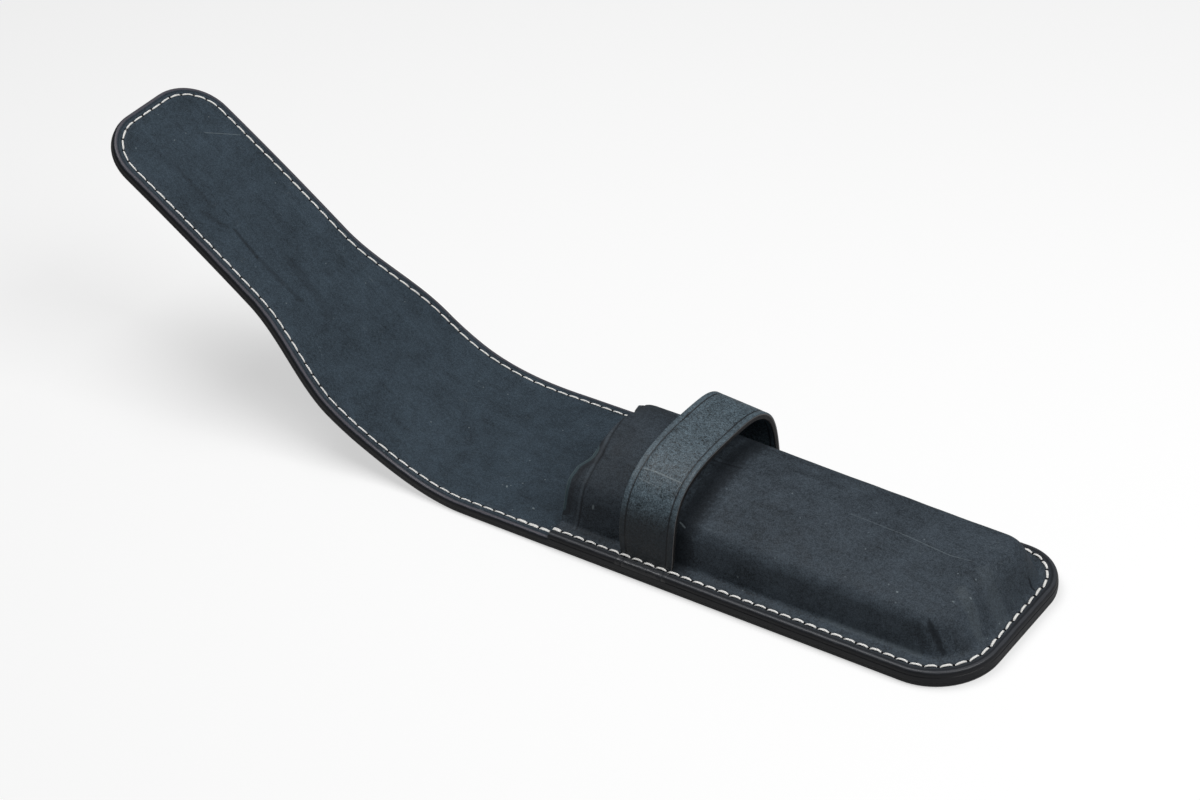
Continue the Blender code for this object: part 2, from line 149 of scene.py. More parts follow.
# Foot radius, shoulder radius and steepness of each wall
NEAR_WALL = (0.0016, 0.0034, math.radians(75.0))
FAR_WALL = (0.0028, 0.0048, math.radians(68.0))
HEEL_WALL = (0.0028, 0.0080, math.radians(57.0))
MOUTH_WALL_ANGLE = math.radians(62.0)
MOUTH_SHOULDER_HEIGHT, HEEL_SHOULDER_HEIGHT, MOUTH_SHOULDER_DROP = 0.0109, 0.0104, 0.0029
MOUTH_CROWN_HEIGHT, HEEL_CROWN_HEIGHT, MOUTH_CROWN_RISE = 0.0183, 0.0128, 0.0010
MOUTH_FADE, LEAN_FADE = 0.0450, 0.1050
MOUTH_LEAN, HEEL_LEAN = 0.0028, 0.0012
NEAR_TOP_RADIUS, FAR_TOP_RADIUS, FAR_TOP_REACH = 0.0030, 0.0045, 0.0055
SCOOP_DEPTH, SCOOP_HALF_WIDTH, SCOOP_BLEND, FAR_SCOOP_CUT = 0.0034, 0.0140, 0.0060, 0.0015
STRAP_WIDTH, STRAP_THICKNESS, STRAP_FROM_MOUTH = 0.0170, 0.0020, 0.0230
STRAP_BEND_RADIUS, TONGUE_CLEARANCE, SEAT_GAP = 0.0008, 0.0033, 0.0003
LEATHER_THICKNESS = 0.0016
STRAP_CREST_Y = (0.0050, 0.0020)
STRAP_SQUARENESS = (2.85, 3.6)
STRAP_TUCK = 0.0014


def sizes():
    """The case's sizes as set in the sidebar."""
    return bpy.context.scene.case_sizes


def edges():
    """The edge and stitch settings."""
    return bpy.context.scene.case_edges


def looks():
    """The colour settings."""
    return bpy.context.scene.case_looks


def stage():
    """The floor and light settings."""
    return bpy.context.scene.case_stage


def smooth_step(value):
    """Ease from 0 to 1 with level ends."""
    value = min(max(value, 0.0), 1.0)
    return value * value * (3.0 - 2.0 * value)


def mix(start, end, share):
    """Value a share of the way from start to end."""
    return start + (end - start) * share


def bump(distance, width):
    """Round bump of height 1 that fades out over the width."""
    return math.exp(-(distance / width) ** 2)


def corner_loss(distance, radius):
    """How much a rounded corner takes off the half width at a distance from the end."""
    if distance >= radius:
        return 0.0
    rise = radius - distance
    return radius - math.sqrt(max(radius * radius - rise * rise, 0.0))


def straight_half_width(along):
    """Half width of the strip without its rounded corners."""
    s = sizes()
    neck = smooth_step((along - NECK_START) / (NECK_END - NECK_START))
    shoulder = smooth_step((along - SHOULDER_START) / (SHOULDER_END - SHOULDER_START))
    width = s.case_width + (s.neck_width - s.case_width) * neck
    return (width + (s.tongue_width - s.neck_width) * shoulder) / 2


def profile(along):
    """Place and slope of the lining's upper face at a distance along the strip."""
    s = sizes()
    bend_length = s.lift_radius * s.lift_angle
    relax_start = s.flap_length - TIP_RELAX_LENGTH
    bent = min(max(along - LIFT_START, 0.0), bend_length)
    slope = bent / s.lift_radius
    x = -s.pocket_length / 2 - min(along, LIFT_START) - s.lift_radius * math.sin(slope)
    z = LINING_TOP + s.lift_radius * (1.0 - math.cos(slope))
    straight = min(max(along - LIFT_START - bend_length, 0.0), relax_start - LIFT_START - bend_length)
    x -= straight * math.cos(slope)
    z += straight * math.sin(slope)
    if along > relax_start:
        relax_radius = TIP_RELAX_LENGTH / TIP_RELAX_ANGLE
        relaxed = slope - (along - relax_start) / relax_radius
        x -= relax_radius * (math.sin(slope) - math.sin(relaxed))
        z += relax_radius * (math.cos(relaxed) - math.cos(slope))
        slope = relaxed
    return x, z, slope


def strip_place(along, across, height):
    """World place of a point given in the strip's own frame."""
    x, z, slope = profile(along)
    return Vector((x + height * math.sin(slope), across, z + height * math.cos(slope)))


# Where the edge starts to fall from three layers to two before the mouth, and over what length
STACK_FADE_START, STACK_FADE = -0.0012, 0.0016


def stack_height(along):
    """Thickness of all layers at the edge: three behind the pocket's flange, two on the flap."""
    s = sizes()
    share = smooth_step((along - STACK_FADE_START) / STACK_FADE)
    return 2 * s.layer + s.pocket_layer * (1.0 - share)


class Rim:
    """One point of the cut edge: its place along and across, the way out of the leather, and its seam run."""

    def __init__(self, along, across, out):
        self.along = along
        self.across = across
        self.out = out
        self.run = 0.0

    def inset(self, distance):
        """Place a distance in from the cut edge."""
        return self.along - self.out[0] * distance, self.across - self.out[1] * distance


def side_rims(side, places):
    """Rims down one side at the given distances along, without the corners."""
    rims = []
    step = 0.0002
    for along in places:
        slope = (straight_half_width(along + step) - straight_half_width(along - step)) / (2 * step)
        size = math.hypot(1.0, slope)
        rims.append(Rim(along, side * straight_half_width(along), (-slope / size, side / size)))
    return rims


END_COLUMNS, CORNER_ROWS = 32, 9
# A rounded corner's turn where the rows down the sides meet those across the ends, and where it is complete
CORNER_MIDDLE, CORNER_END = math.pi / 4, math.pi / 2


def end_edge(end):
    """Where an end lies along the strip, and half its width. end is -1 at the closed end and 1 at the tip."""
    edge = -sizes().pocket_length if end < 0 else sizes().flap_length
    return edge, straight_half_width(edge)


def corner_rims(side, end, radius, start_turn, end_turn, steps):
    """Rims round a corner of one end. A turn of 0 faces sideways."""
    edge, half = end_edge(end)
    centre = (edge - end * radius, side * (half - radius))
    rims = []
    for step in range(steps + 1):
        turn = mix(start_turn, end_turn, step / steps)
        out = (end * math.sin(turn), side * math.cos(turn))
        rims.append(Rim(centre[0] + radius * out[0], centre[1] + radius * out[1], out))
    return rims


def end_rims(end, near_radius, far_radius):
    """Rims across one end, from halfway round the near corner to halfway round the far one."""
    edge, half = end_edge(end)
    corner = END_COLUMNS // 4
    near = corner_rims(-1, end, near_radius, CORNER_MIDDLE, CORNER_END, corner)
    far = corner_rims(1, end, far_radius, CORNER_END, CORNER_MIDDLE, corner)
    middle = []
    steps = END_COLUMNS - 2 * corner
    start, finish = near_radius - half, half - far_radius
    for step in range(1, steps):
        share = 2 * step / steps
        across = mix(start, 0.0, share) if share <= 1.0 else mix(0.0, finish, share - 1.0)
        middle.append(Rim(edge, across, (end, 0.0)))
    return near + middle + far


# Reach of the close rows on both sides of the mouth, and the rows' spacing over each stretch of the strip
MOUTH_ZONE = 0.004
ROW_PITCHES = [0.0020, 0.0004, 0.0010] + [0.0007] * FOLD_COUNT + [0.0014]
SKIN_CUTS = [FOLD_START + FOLD_PITCH * (index - 0.5) for index in range(FOLD_COUNT + 1)]


class Outline:
    """The whole cut edge as matching rims on both sides and across both ends."""

    def __init__(self):
        s = sizes()
        self.closed = end_rims(-1, s.near_radius, s.far_radius)
        self.tip = end_rims(1, s.tip_radius, s.tip_radius)
        near_start = s.near_radius - s.pocket_length
        breaks = [-MOUTH_ZONE, MOUTH_ZONE, *SKIN_CUTS, s.flap_length - s.tip_radius]
        self.sides = []
        for side, radius in ((-1, s.near_radius), (1, s.far_radius)):
            rims = corner_rims(side, -1, radius, CORNER_MIDDLE, 0.0, CORNER_ROWS)
            starts = [radius - s.pocket_length] + breaks
            for start, end, pitch in zip(starts, breaks, ROW_PITCHES):
                count = max(round((end - max(start, near_start)) / pitch), 1)
                rims += side_rims(side, [mix(start, end, step / count) for step in range(1, count + 1)])
            rims += corner_rims(side, 1, s.tip_radius, 0.0, CORNER_MIDDLE, CORNER_ROWS)[1:]
            self.sides.append(rims)
        self.loop = self.closed_loop()
        self.seam_length = self.measure_seam()
        self.stitches = round(self.seam_length / edges().stitch_pitch)
        self.pitch = self.seam_length / self.stitches

    def closed_loop(self):
        """All rims once round: from the middle of the closed end, down the near side to the tip and back."""
        middle = END_COLUMNS // 2
        near, far = self.sides
        return (self.closed[middle::-1] + near[1:-1] + self.tip
                + far[-2:0:-1] + self.closed[:middle - 1:-1])

    def measure_seam(self):
        """Length of the seam, and each rim's run along it from the middle of the closed end."""
        inset = edges().seam_inset
        run = 0.0
        self.seam = []
        for rim in self.loop:
            place = rim.inset(inset)
            if self.seam:
                previous = self.seam[-1][0]
                run += math.hypot(place[0] - previous[0], place[1] - previous[1])
            rim.run = run
            self.seam.append((place, run))
        for twin, rim in ((self.sides[0][0], self.closed[0]), (self.sides[1][0], self.closed[-1]),
                          (self.sides[0][-1], self.tip[0]), (self.sides[1][-1], self.tip[-1])):
            twin.run = rim.run
        self.closed[END_COLUMNS // 2].run = 0.0
        return run

    def row_at(self, along):
        """Index of the row of rims at a distance along the strip."""
        rims = self.sides[0]
        return min(range(len(rims)), key=lambda index: abs(rims[index].along - along))

    def run_at(self, along, across):
        """Run along the seam of the seam's nearest place."""
        best, run = None, 0.0
        for (one, one_run), (two, two_run) in zip(self.seam, self.seam[1:]):
            step = (two[0] - one[0], two[1] - one[1])
            size = step[0] ** 2 + step[1] ** 2
            share = ((along - one[0]) * step[0] + (across - one[1]) * step[1]) / size if size else 0.0
            share = min(max(share, 0.0), 1.0)
            gap = math.hypot(one[0] + step[0] * share - along, one[1] + step[1] * share - across)
            if best is None or gap < best:
                best, run = gap, mix(one_run, two_run, share)
        return run

    def rim_at(self, run):
        """Seam place at a run, with the way out of the leather there, as a rim on the cut edge."""
        for (one, one_run), (two, two_run), first, second in zip(
                self.seam, self.seam[1:], self.loop, self.loop[1:]):
            if one_run <= run <= two_run:
                share = (run - one_run) / (two_run - one_run)
                out = (mix(first.out[0], second.out[0], share), mix(first.out[1], second.out[1], share))
                size = math.hypot(*out)
                return Rim(mix(first.along, second.along, share), mix(first.across, second.across, share),
                           (out[0] / size, out[1] / size))
        return self.loop[0]


EDGE_STEPS = 7
EDGE_SQUARENESS = 2.6
EDGE_LINE = 0.00012
UNDER_GROOVE, UNDER_GROOVE_HALF_WIDTH = 0.00042, 0.00055
CREASE_HALF_WIDTH = 0.00018
CHANNEL_DEPTH, CHANNEL_HALF_WIDTH = 0.00016, 0.00050
# Points across the pressed line and across the seam, in millimetres from each
CREASE_OFFSETS = (-0.36, -0.2, 0.0, 0.2, 0.36)
SEAM_OFFSETS = (-0.85, -0.55, -0.25, 0.0, 0.25, 0.55, 0.85, 1.25)
MARGIN_SPACING = 0.00006
SWAY_HEIGHT, SWAY_SCALE = 0.00016, 22.0
# Where the lining's face comes free of the pocket's flange, and over what length
OPEN_START, OPEN_FADE = 0.0004, 0.0012


def edge_points(height, low, high, steps=EDGE_STEPS):
    """Rounded edge from one height to another, as (distance in from the cut edge, height) pairs."""
    e = edges()
    half = height / 2
    power = 2.0 / EDGE_SQUARENESS

    def turn_at(level):
        share = min(max((level - half) / half, -1.0), 1.0)
        return math.asin(math.copysign(abs(share) ** (1.0 / power), share))

    start, end = turn_at(low), turn_at(high)
    points = []
    for step in range(steps + 1):
        turn = mix(start, end, step / steps)
        reach = e.rounding * max(math.cos(turn), 0.0) ** power
        level = half + half * math.copysign(abs(math.sin(turn)) ** power, math.sin(turn))
        points.append((e.rounding - e.bulge - reach, level))
    return points


def edge_section(height, start, end, shift):
    """Part of the burnished edge between two heights, moved by a shift, with the glue line pressed in."""
    points = [(inset, level + shift) for inset, level in edge_points(height, start, end)]
    points[0] = (points[0][0] + EDGE_LINE, points[0][1])
    return points


def margin_insets():
    """Distances in from the cut edge at which the sewn margin needs points."""
    e = edges()
    places = [e.crease_inset + offset * MILLIMETRE for offset in CREASE_OFFSETS]
    places += [e.seam_inset + offset * MILLIMETRE for offset in SEAM_OFFSETS]
    return sorted(places)


def margin_relief(inset, strength):
    """Height of the sewn margin: a pressed line near the edge and a shallow channel under the thread."""
    e = edges()
    line = e.crease_depth * bump(inset - e.crease_inset, CREASE_HALF_WIDTH)
    channel = CHANNEL_DEPTH * bump(inset - e.seam_inset, CHANNEL_HALF_WIDTH)
    return -strength * (line + channel)


def under_groove(inset):
    """Depth of the channel that holds the thread on the underside."""
    return UNDER_GROOVE * bump(inset - edges().seam_inset, UNDER_GROOVE_HALF_WIDTH)


def open_share(along):
    """0 where the pocket's flange covers the lining, easing to 1 on the flap."""
    return smooth_step((along - OPEN_START) / OPEN_FADE)


def sway(along, across):
    """Slight waviness of hand-worked leather where nothing covers it."""
    wave = noise.noise(Vector((along * SWAY_SCALE, across * SWAY_SCALE, 0.0)))
    return SWAY_HEIGHT * wave * open_share(along)


def add_uv(mesh, name, coordinates):
    """UV layer from one pair of numbers for each vertex."""
    layer = mesh.uv_layers.new(name=name)
    for loop in mesh.loops:
        layer.data[loop.index].uv = coordinates[loop.vertex_index]
    return layer


def finish_mesh(name, grid, materials, facing):
    """Smooth mesh object with its maps, pressed in by its depths. facing is 1 for a face that looks up."""
    mesh = bpy.data.meshes.new(name)
    mesh.from_pydata(grid.vertices, [], grid.faces)
    mesh.polygons.foreach_set("material_index", grid.slots)
    for map_name, coordinates in grid.maps.items():
        add_uv(mesh, map_name, coordinates)
    build = bmesh.new()
    build.from_mesh(mesh)
    bmesh.ops.recalc_face_normals(build, faces=build.faces)
    if facing * sum(face.normal.z * face.calc_area() for face in build.faces) < 0:
        bmesh.ops.reverse_faces(build, faces=build.faces)
    build.to_mesh(mesh)
    build.free()
    mesh.shade_smooth()
    inward = [-vertex.normal for vertex in mesh.vertices]
    for vertex, depth, direction in zip(mesh.vertices, grid.depths, inward):
        vertex.co += direction * depth
    for kind in materials:
        mesh.materials.append(case_material(kind))
    item = bpy.data.objects.new(name, mesh)
    bpy.context.scene.collection.objects.link(item)
    return item


class Grid:
    """Vertices, faces and map coordinates gathered while a piece is made."""

    def __init__(self, maps=("Leather", "Seam")):
        self.vertices = []
        self.faces = []
        self.slots = []
        self.depths = []
        self.maps = {name: [] for name in maps}

    def add(self, place, *pairs, depth=0.0):
        """Add a vertex with a pair of numbers for each map and a depth to press it in, and give its index."""
        self.vertices.append(place)
        self.depths.append(depth)
        for coordinates, pair in zip(self.maps.values(), pairs):
            coordinates.append(pair)
        return len(self.vertices) - 1

    def join(self, first, second, slot=0):
        """Faces between two lines of vertex indices, in a material slot."""
        for index in range(len(first) - 1):
            self.face([first[index], second[index], second[index + 1], first[index + 1]], slot)

    def skin(self, lines):
        """Faces between each line of vertex indices and the next."""
        for first, second in zip(lines, lines[1:]):
            self.join(first, second)

    def face(self, corners, slot=0):
        """Add one face in a material slot."""
        self.faces.append(corners)
        self.slots.append(slot)


FLAT_SCALE = 10.0
DEEP_INSET = 0.012


def flat_pair(along, across):
    """Leather map of a point: where it lies on the flat leather."""
    return along * FLAT_SCALE, across * FLAT_SCALE


def seam_pair(outline, run, inset, wrapped):
    """Seam map of a point: its run in stitches and its inset in millimetres."""
    if wrapped and run > outline.seam_length / 2:
        run -= outline.seam_length
    return run / outline.pitch, inset / MILLIMETRE


def strip_column(grid, outline, rim, section, wrapped):
    """Line of vertices from the middle of the edge inward along one face of a layer."""
    column = []
    for inset, height in section(rim):
        along, across = rim.inset(inset)
        place = strip_place(along, across, height)
        seam = seam_pair(outline, rim.run, inset, wrapped)
        column.append(grid.add(place, flat_pair(along, across), seam))
    return column


def margin_points(base, last, relief):
    """Points of the sewn margin, in from the rounded edge."""
    points = []
    inmost = margin_insets()[-1]
    for index, inset in enumerate(margin_insets()):
        clear = min(max(inset, last + MARGIN_SPACING * (index + 1)), inmost)
        points.append((clear, base + relief(clear)))
    return points


def upper_section(rim):
    """Section of the lining: its half of the burnished edge, then the sewn margin and the face."""
    layer = sizes().layer
    strength = open_share(rim.along)
    points = edge_section(stack_height(rim.along), layer, 2 * layer, -2 * layer)
    points += margin_points(0.0, points[-1][0], lambda inset: margin_relief(inset, strength))
    inset, height = points[-1]
    points[-1] = (inset, height + sway(*rim.inset(inset)))
    return points


def lower_section(rim):
    """Section of the outer leather: the lower half of the burnished edge, then its sewn margin and face."""
    layer = sizes().layer
    points = edge_section(stack_height(rim.along), layer, 0.0, -2 * layer)
    return points + margin_points(-2 * layer, points[-1][0], under_groove)


def strip_skin(name, outline, first, last, section, upper, kind, closed=False, tip=False):
    """One stretch of a long layer between two rows of rims, with its ends where it has them."""
    grid = Grid()
    near_rims = outline.sides[0][first:last + 1]
    far_rims = outline.sides[1][first:last + 1]
    near = [strip_column(grid, outline, rim, section, closed) for rim in near_rims]
    far = [strip_column(grid, outline, rim, section, closed) for rim in far_rims]
    inmost = margin_insets()[-1]
    rows = []
    for row, (near_rim, far_rim) in enumerate(zip(near_rims, far_rims)):
        start = near_rim.inset(inmost)
        end = far_rim.inset(inmost)
        line = [near[row][-1]]
        for column in range(1, END_COLUMNS):
            share = column / END_COLUMNS
            along = mix(start[0], end[0], share)
            across = mix(start[1], end[1], share)
            height = sway(along, across) if upper else -2 * sizes().layer
            seam = (near_rim.run / outline.pitch, DEEP_INSET / MILLIMETRE)
            line.append(grid.add(strip_place(along, across, height), flat_pair(along, across), seam))
        line.append(far[row][-1])
        rows.append(line)
    for lines in (near, far, rows):
        grid.skin(lines)
    for wanted, rims, edge_row in ((closed, outline.closed, 0), (tip, outline.tip, -1)):
        if not wanted:
            continue
        middle = [strip_column(grid, outline, rim, section, closed) for rim in rims[1:-1]]
        columns = [near[edge_row]] + middle + [far[edge_row]]
        grid.skin(columns)
        grid.join(rows[edge_row], [column[-1] for column in columns])
    return finish_mesh(name, grid, [kind], 1 if upper else -1)


FOLD_BODIES = [f"fold_{number}" for number in range(1, FOLD_COUNT)]
BENDS = [f"bend_{number}" for number in range(1, FOLD_COUNT + 1)]


def carry(item, index):
    """Let a stretch of the strip ride on the case or on the flap; a stretch across a fold line only has its
    transform baked in.
    """
    if index == 0:
        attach(item, "case")
    elif index <= FOLD_COUNT:
        start = strip_place(SKIN_CUTS[index - 1], 0.0, 0.0)
        end = strip_place(SKIN_CUTS[index], 0.0, 0.0)
        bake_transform(item)
    else:
        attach(item, "flap")


def build_long_layer(outline, layer, section, upper):
    """Skins of the outer leather or of the lining over all its solids."""
    cuts = [0] + [outline.row_at(along) for along in SKIN_CUTS] + [len(outline.sides[0]) - 1]
    stretches = ["back"] + BENDS + ["flap"]
    solids = ["back"] + FOLD_BODIES + [None, "flap"]
    for index, (stretch, solid) in enumerate(zip(stretches, solids)):
        item = strip_skin(f"{layer}_skin_{stretch}", outline, cuts[index], cuts[index + 1], section, upper,
                          layer, closed=index == 0, tip=index == FOLD_COUNT + 1)
        carry(item, index)
        if solid:
            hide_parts(f"{layer}_{solid}")


def length_share(x):
    """0 at the mouth and 1 at the closed end."""
    half = sizes().pocket_length / 2
    return min(max((x + half) / (2 * half), 0.0), 1.0)


def mouth_share(x, fade):
    """1 at the mouth, easing to 0 over the fade."""
    return 1.0 - smooth_step((x + sizes().pocket_length / 2) / fade)


def shoulder_height(x):
    """Height of the pocket's shoulders above the flange."""
    height = mix(MOUTH_SHOULDER_HEIGHT, HEEL_SHOULDER_HEIGHT, length_share(x))
    return height - MOUTH_SHOULDER_DROP * mouth_share(x, MOUTH_FADE)


def crown_height(x):
    """Height of the pocket's middle above the flange."""
    height = mix(MOUTH_CROWN_HEIGHT, HEEL_CROWN_HEIGHT, length_share(x))
    return height + MOUTH_CROWN_RISE * mouth_share(x, MOUTH_FADE)


def flange_top():
    """Height of the pocket's flange above the table."""
    s = sizes()
    return LINING_TOP + s.pocket_layer


def rise_share(z, fade, start=0.0):
    """0 up to a start above the flange, easing to 1 over the fade."""
    return smooth_step((z - flange_top() - start) / fade)


def wall_shape(side, heel):
    """Foot radius, shoulder radius and steepness. heel is 0 at the sides and 1 at the closed end."""
    long_wall = NEAR_WALL if side < 0 else FAR_WALL
    return [mix(start, end, heel) for start, end in zip(long_wall, HEEL_WALL)]


WALL_STEPS, STRAIGHT_STEPS = 9, 4


def wall_section(height, foot_radius, shoulder_radius, angle):
    """Moulded wall from its foot up: its run, and points as shares of the run and of the height."""
    foot_rise = foot_radius * (1.0 - math.cos(angle))
    shoulder_rise = shoulder_radius * (1.0 - math.cos(angle))
    straight_run = (height - foot_rise - shoulder_rise) / math.tan(angle)
    run = (foot_radius + shoulder_radius) * math.sin(angle) + straight_run
    points = []
    for step in range(WALL_STEPS + 1):
        turn = angle * step / WALL_STEPS
        points.append((foot_radius * math.sin(turn) / run, foot_radius * (1.0 - math.cos(turn)) / height))
    first, last = points[-1], (run - shoulder_radius * math.sin(angle)) / run
    rise = (height - shoulder_radius * (1.0 - math.cos(angle))) / height
    for step in range(1, STRAIGHT_STEPS):
        share = step / STRAIGHT_STEPS
        points.append((mix(first[0], last, share), mix(first[1], rise, share)))
    for step in range(WALL_STEPS + 1):
        turn = angle * (1.0 - step / WALL_STEPS)
        inset = run - shoulder_radius * math.sin(turn)
        points.append((inset / run, (height - shoulder_radius * (1.0 - math.cos(turn))) / height))
    return run, points


def side_section(x, side):
    """Section of a long wall at a place along the pocket."""
    foot_radius, shoulder_radius, angle = wall_shape(side, 0.0)
    angle = mix(angle, MOUTH_WALL_ANGLE, mouth_share(x, MOUTH_FADE))
    return wall_section(shoulder_height(x), foot_radius, shoulder_radius, angle)


def pocket_point(x, y, share):
    """Point of the pocket's outer face. share is the part of the wall's height reached there."""
    half = sizes().case_width / 2
    across = 1.0 - min(abs(y) / (half - FLANGE_WIDTH), 1.0) ** 2
    crown = (crown_height(x) - shoulder_height(x)) * across
    lean = mix(HEEL_LEAN, MOUTH_LEAN, mouth_share(x, LEAN_FADE)) * y / half
    return Vector((x, y, flange_top() + share * (shoulder_height(x) + crown + lean)))


def mouth_edge(y):
    """X of the mouth's cut edge, scooped back between its two sides."""
    reach = SCOOP_HALF_WIDTH - (FAR_SCOOP_CUT if y > 0 else 0.0)
    depth = smooth_step((reach + SCOOP_BLEND / 2 - abs(y)) / SCOOP_BLEND)
    return -sizes().pocket_length / 2 + SCOOP_DEPTH * depth


# Rows close to the mouth, in millimetres from it
MOUTH_ROWS = [0.0, 0.04, 0.12, 0.25, 0.42, 0.7, 1.0, 1.3, 1.6, 1.8, 2.0, 2.2, 2.5, 2.8, 3.1, 3.3, 3.5, 3.7,
              3.9, 4.1, 4.4, 4.8, 5.4, 6.2, 7.2]
MOUTH_ROUNDING = 0.00045
POCKET_ROWS, POCKET_TOP_COLUMNS, POCKET_CORNER_STEPS = 92, 48, 24
# How far behind the mouth the crease lies at its near and far ends, then where across the case its slant
# starts and how wide the slant is
MOUTH_CREASE, CREASE_START, CREASE_SPAN = (0.0060, 0.0019), -0.010, 0.025
SECOND_CREASE = 0.0024
# Depth and half width of the crease, of the second line and of the droop at the mouth's far end
CREASE_LINE, SECOND_LINE, FAR_MOUTH_DROOP = (0.00022, 0.00034), (0.00014, 0.00030), (0.0014, 0.0026)
DROOP_START, DROOP_FADE = 0.006, 0.008
# Distance from the mouth past which nothing is pressed in, then a distance and a map pair surely past it
MOUTH_REACH, BEYOND_MOUTH, BEYOND_PAIR = 0.010, 1.0, (9.0, 9.0)
# Lengths over which the near side's line and band, the wall's relief and the shell's thinning set in
NEAR_LINE_FADE, NEAR_BAND_FADE, WALL_FADE, THINNING_FADE = 0.006, 0.010, 0.0030, 0.0040
FLANGE_CREASE_SHARE = 0.4
# Height and scale of the wide and fine waves of the moulded leather
WIDE_WAVES, FINE_WAVES, FINE_WAVE_SHIFT = (0.00018, 45.0), (0.00005, 160.0), Vector((5.0, 0.0, 0.0))
FOOT_GAP = 0.00012
THICKENING_SLACK = 0.00004
RIM_ANGLE = math.radians(55.0)


def segment_gap(place, start, end):
    """Distance from a place to the line between two others, and how far along that line it lies."""
    step = end - start
    share = min(max((place - start).dot(step) / step.length_squared, 0.0), 1.0)
    return (place - start - step * share).length, share


# Worn places of the pocket's leather as start, end, depth and half width, in millimetres
WORN_GROOVES = [
    ((50.6, -20.9, 14.2), (55.6, -21.7, 6.1), 0.45, 0.65),
    ((54.0, -19.1, 13.8), (58.4, -20.4, 5.4), 0.24, 0.80),
    ((47.6, -22.0, 13.4), (50.0, -23.6, 6.6), 0.22, 0.70),
    ((60.5, 13.6, 7.0), (62.5, 14.0, 5.2), 0.30, 0.60),
    ((59.2, 20.8, 5.9), (62.1, 20.3, 5.1), 0.22, 0.70),
    ((-31.4, 2.1, 22.2), (-22.5, 3.2, 21.7), 0.20, 0.60),
    ((-28.0, -19.7, 16.5), (-25.9, -20.4, 16.0), 0.10, 0.40),
]
# Parts of a half wave between which a worn groove deepens and runs out
GROOVE_TAPER = (0.12, 0.88)


def worn_depth(place):
    """Depth of the puckers and pressed places at a point of the pocket."""
    depth = 0.0
    for start, end, deep, wide in WORN_GROOVES:
        gap, share = segment_gap(place, Vector(start) * MILLIMETRE, Vector(end) * MILLIMETRE)
        if gap < 3 * wide * MILLIMETRE:
            taper = math.sin(math.pi * mix(*GROOVE_TAPER, share))
            depth += deep * MILLIMETRE * taper * bump(gap, wide * MILLIMETRE)
    return depth


def crease_gap(x, y):
    """Distance behind the crease pressed near the mouth, which slants a little across the pocket."""
    share = min(max((y - CREASE_START) / CREASE_SPAN, 0.0), 1.0)
    return x + sizes().pocket_length / 2 - mix(*MOUTH_CREASE, share)


def mouth_relief(distance, place):
    """Rounded cut edge of the mouth and the pressed lines behind it."""
    if distance > MOUTH_REACH:
        return 0.0
    fade = mix(FLANGE_CREASE_SHARE, 1.0, rise_share(place.z, WALL_FADE))
    near_side = smooth_step(-place.y / NEAR_LINE_FADE)
    far_end = smooth_step((place.y - DROOP_START) / DROOP_FADE)
    depth = corner_loss(distance, MOUTH_ROUNDING)
    for (deep, wide), share, gap in (
            (CREASE_LINE, fade, crease_gap(place.x, place.y)),
            (SECOND_LINE, fade * near_side, distance - SECOND_CREASE),
            (FAR_MOUTH_DROOP, far_end, distance)):
        depth += deep * share * bump(gap, wide)
    return depth


def moulded_waves(place):
    """Slight unevenness of leather pressed over its mould."""
    wide = noise.noise(place * WIDE_WAVES[1])
    fine = noise.noise(place * FINE_WAVES[1] + FINE_WAVE_SHIFT)
    return WIDE_WAVES[0] * wide + FINE_WAVES[0] * fine


def pocket_vertex(grid, place, flat, seam, distance):
    """Vertex of the pocket at a place, pressed in by its creases and wear."""
    wall = rise_share(place.z, WALL_FADE)
    depth = mouth_relief(distance, place) + worn_depth(place) + wall * moulded_waves(place)
    worn = wall * smooth_step(-place.y / NEAR_BAND_FADE)
    mouth = (mix(BEYOND_PAIR[0], distance / MILLIMETRE, worn), crease_gap(place.x, place.y) / MILLIMETRE)
    return grid.add(place, flat_pair(*flat), seam, mouth, depth=depth)


def flange_line(grid, outline, rim, foot_inset, distance):
    """Vertices over the burnished edge of the pocket's flange and in to the foot of the wall."""
    s = sizes()
    e = edges()
    low, height = 2 * s.layer, 2 * s.layer + s.pocket_layer
    section = edge_section(height, low, height, -low)
    reach = margin_insets()[-1] - e.seam_inset
    squeeze = min(1.0, (foot_inset - FOOT_GAP - e.seam_inset) / reach)
    for inset in margin_insets():
        if inset > e.seam_inset:
            inset = e.seam_inset + (inset - e.seam_inset) * squeeze
        section.append((inset, s.pocket_layer + margin_relief(inset, 1.0)))
    line = []
    for inset, level in section:
        spot = rim.inset(inset)
        seam = seam_pair(outline, rim.run, inset, True)
        depth = corner_loss(distance, MOUTH_ROUNDING) if level > s.pocket_layer / 2 else 0.0
        line.append(grid.add(strip_place(*spot, level), flat_pair(*spot), seam, BEYOND_PAIR, depth=depth))
    return line


def raise_wall(grid, outline, line, rim, foot_inset, section, flat_place, distance):
    """Carry a flange line on up the moulded wall to the edge of the top."""
    climbed = 0.0
    previous = None
    for inset_share, rise_share in section:
        x, y = flat_place(inset_share)
        place = pocket_point(x, y, rise_share)
        if previous is not None:
            climbed += (place - previous).length
        previous = place
        inset = foot_inset + climbed
        seam = seam_pair(outline, rim.run, inset, True)
        line.append(pocket_vertex(grid, place, rim.inset(inset), seam, distance))
    return line


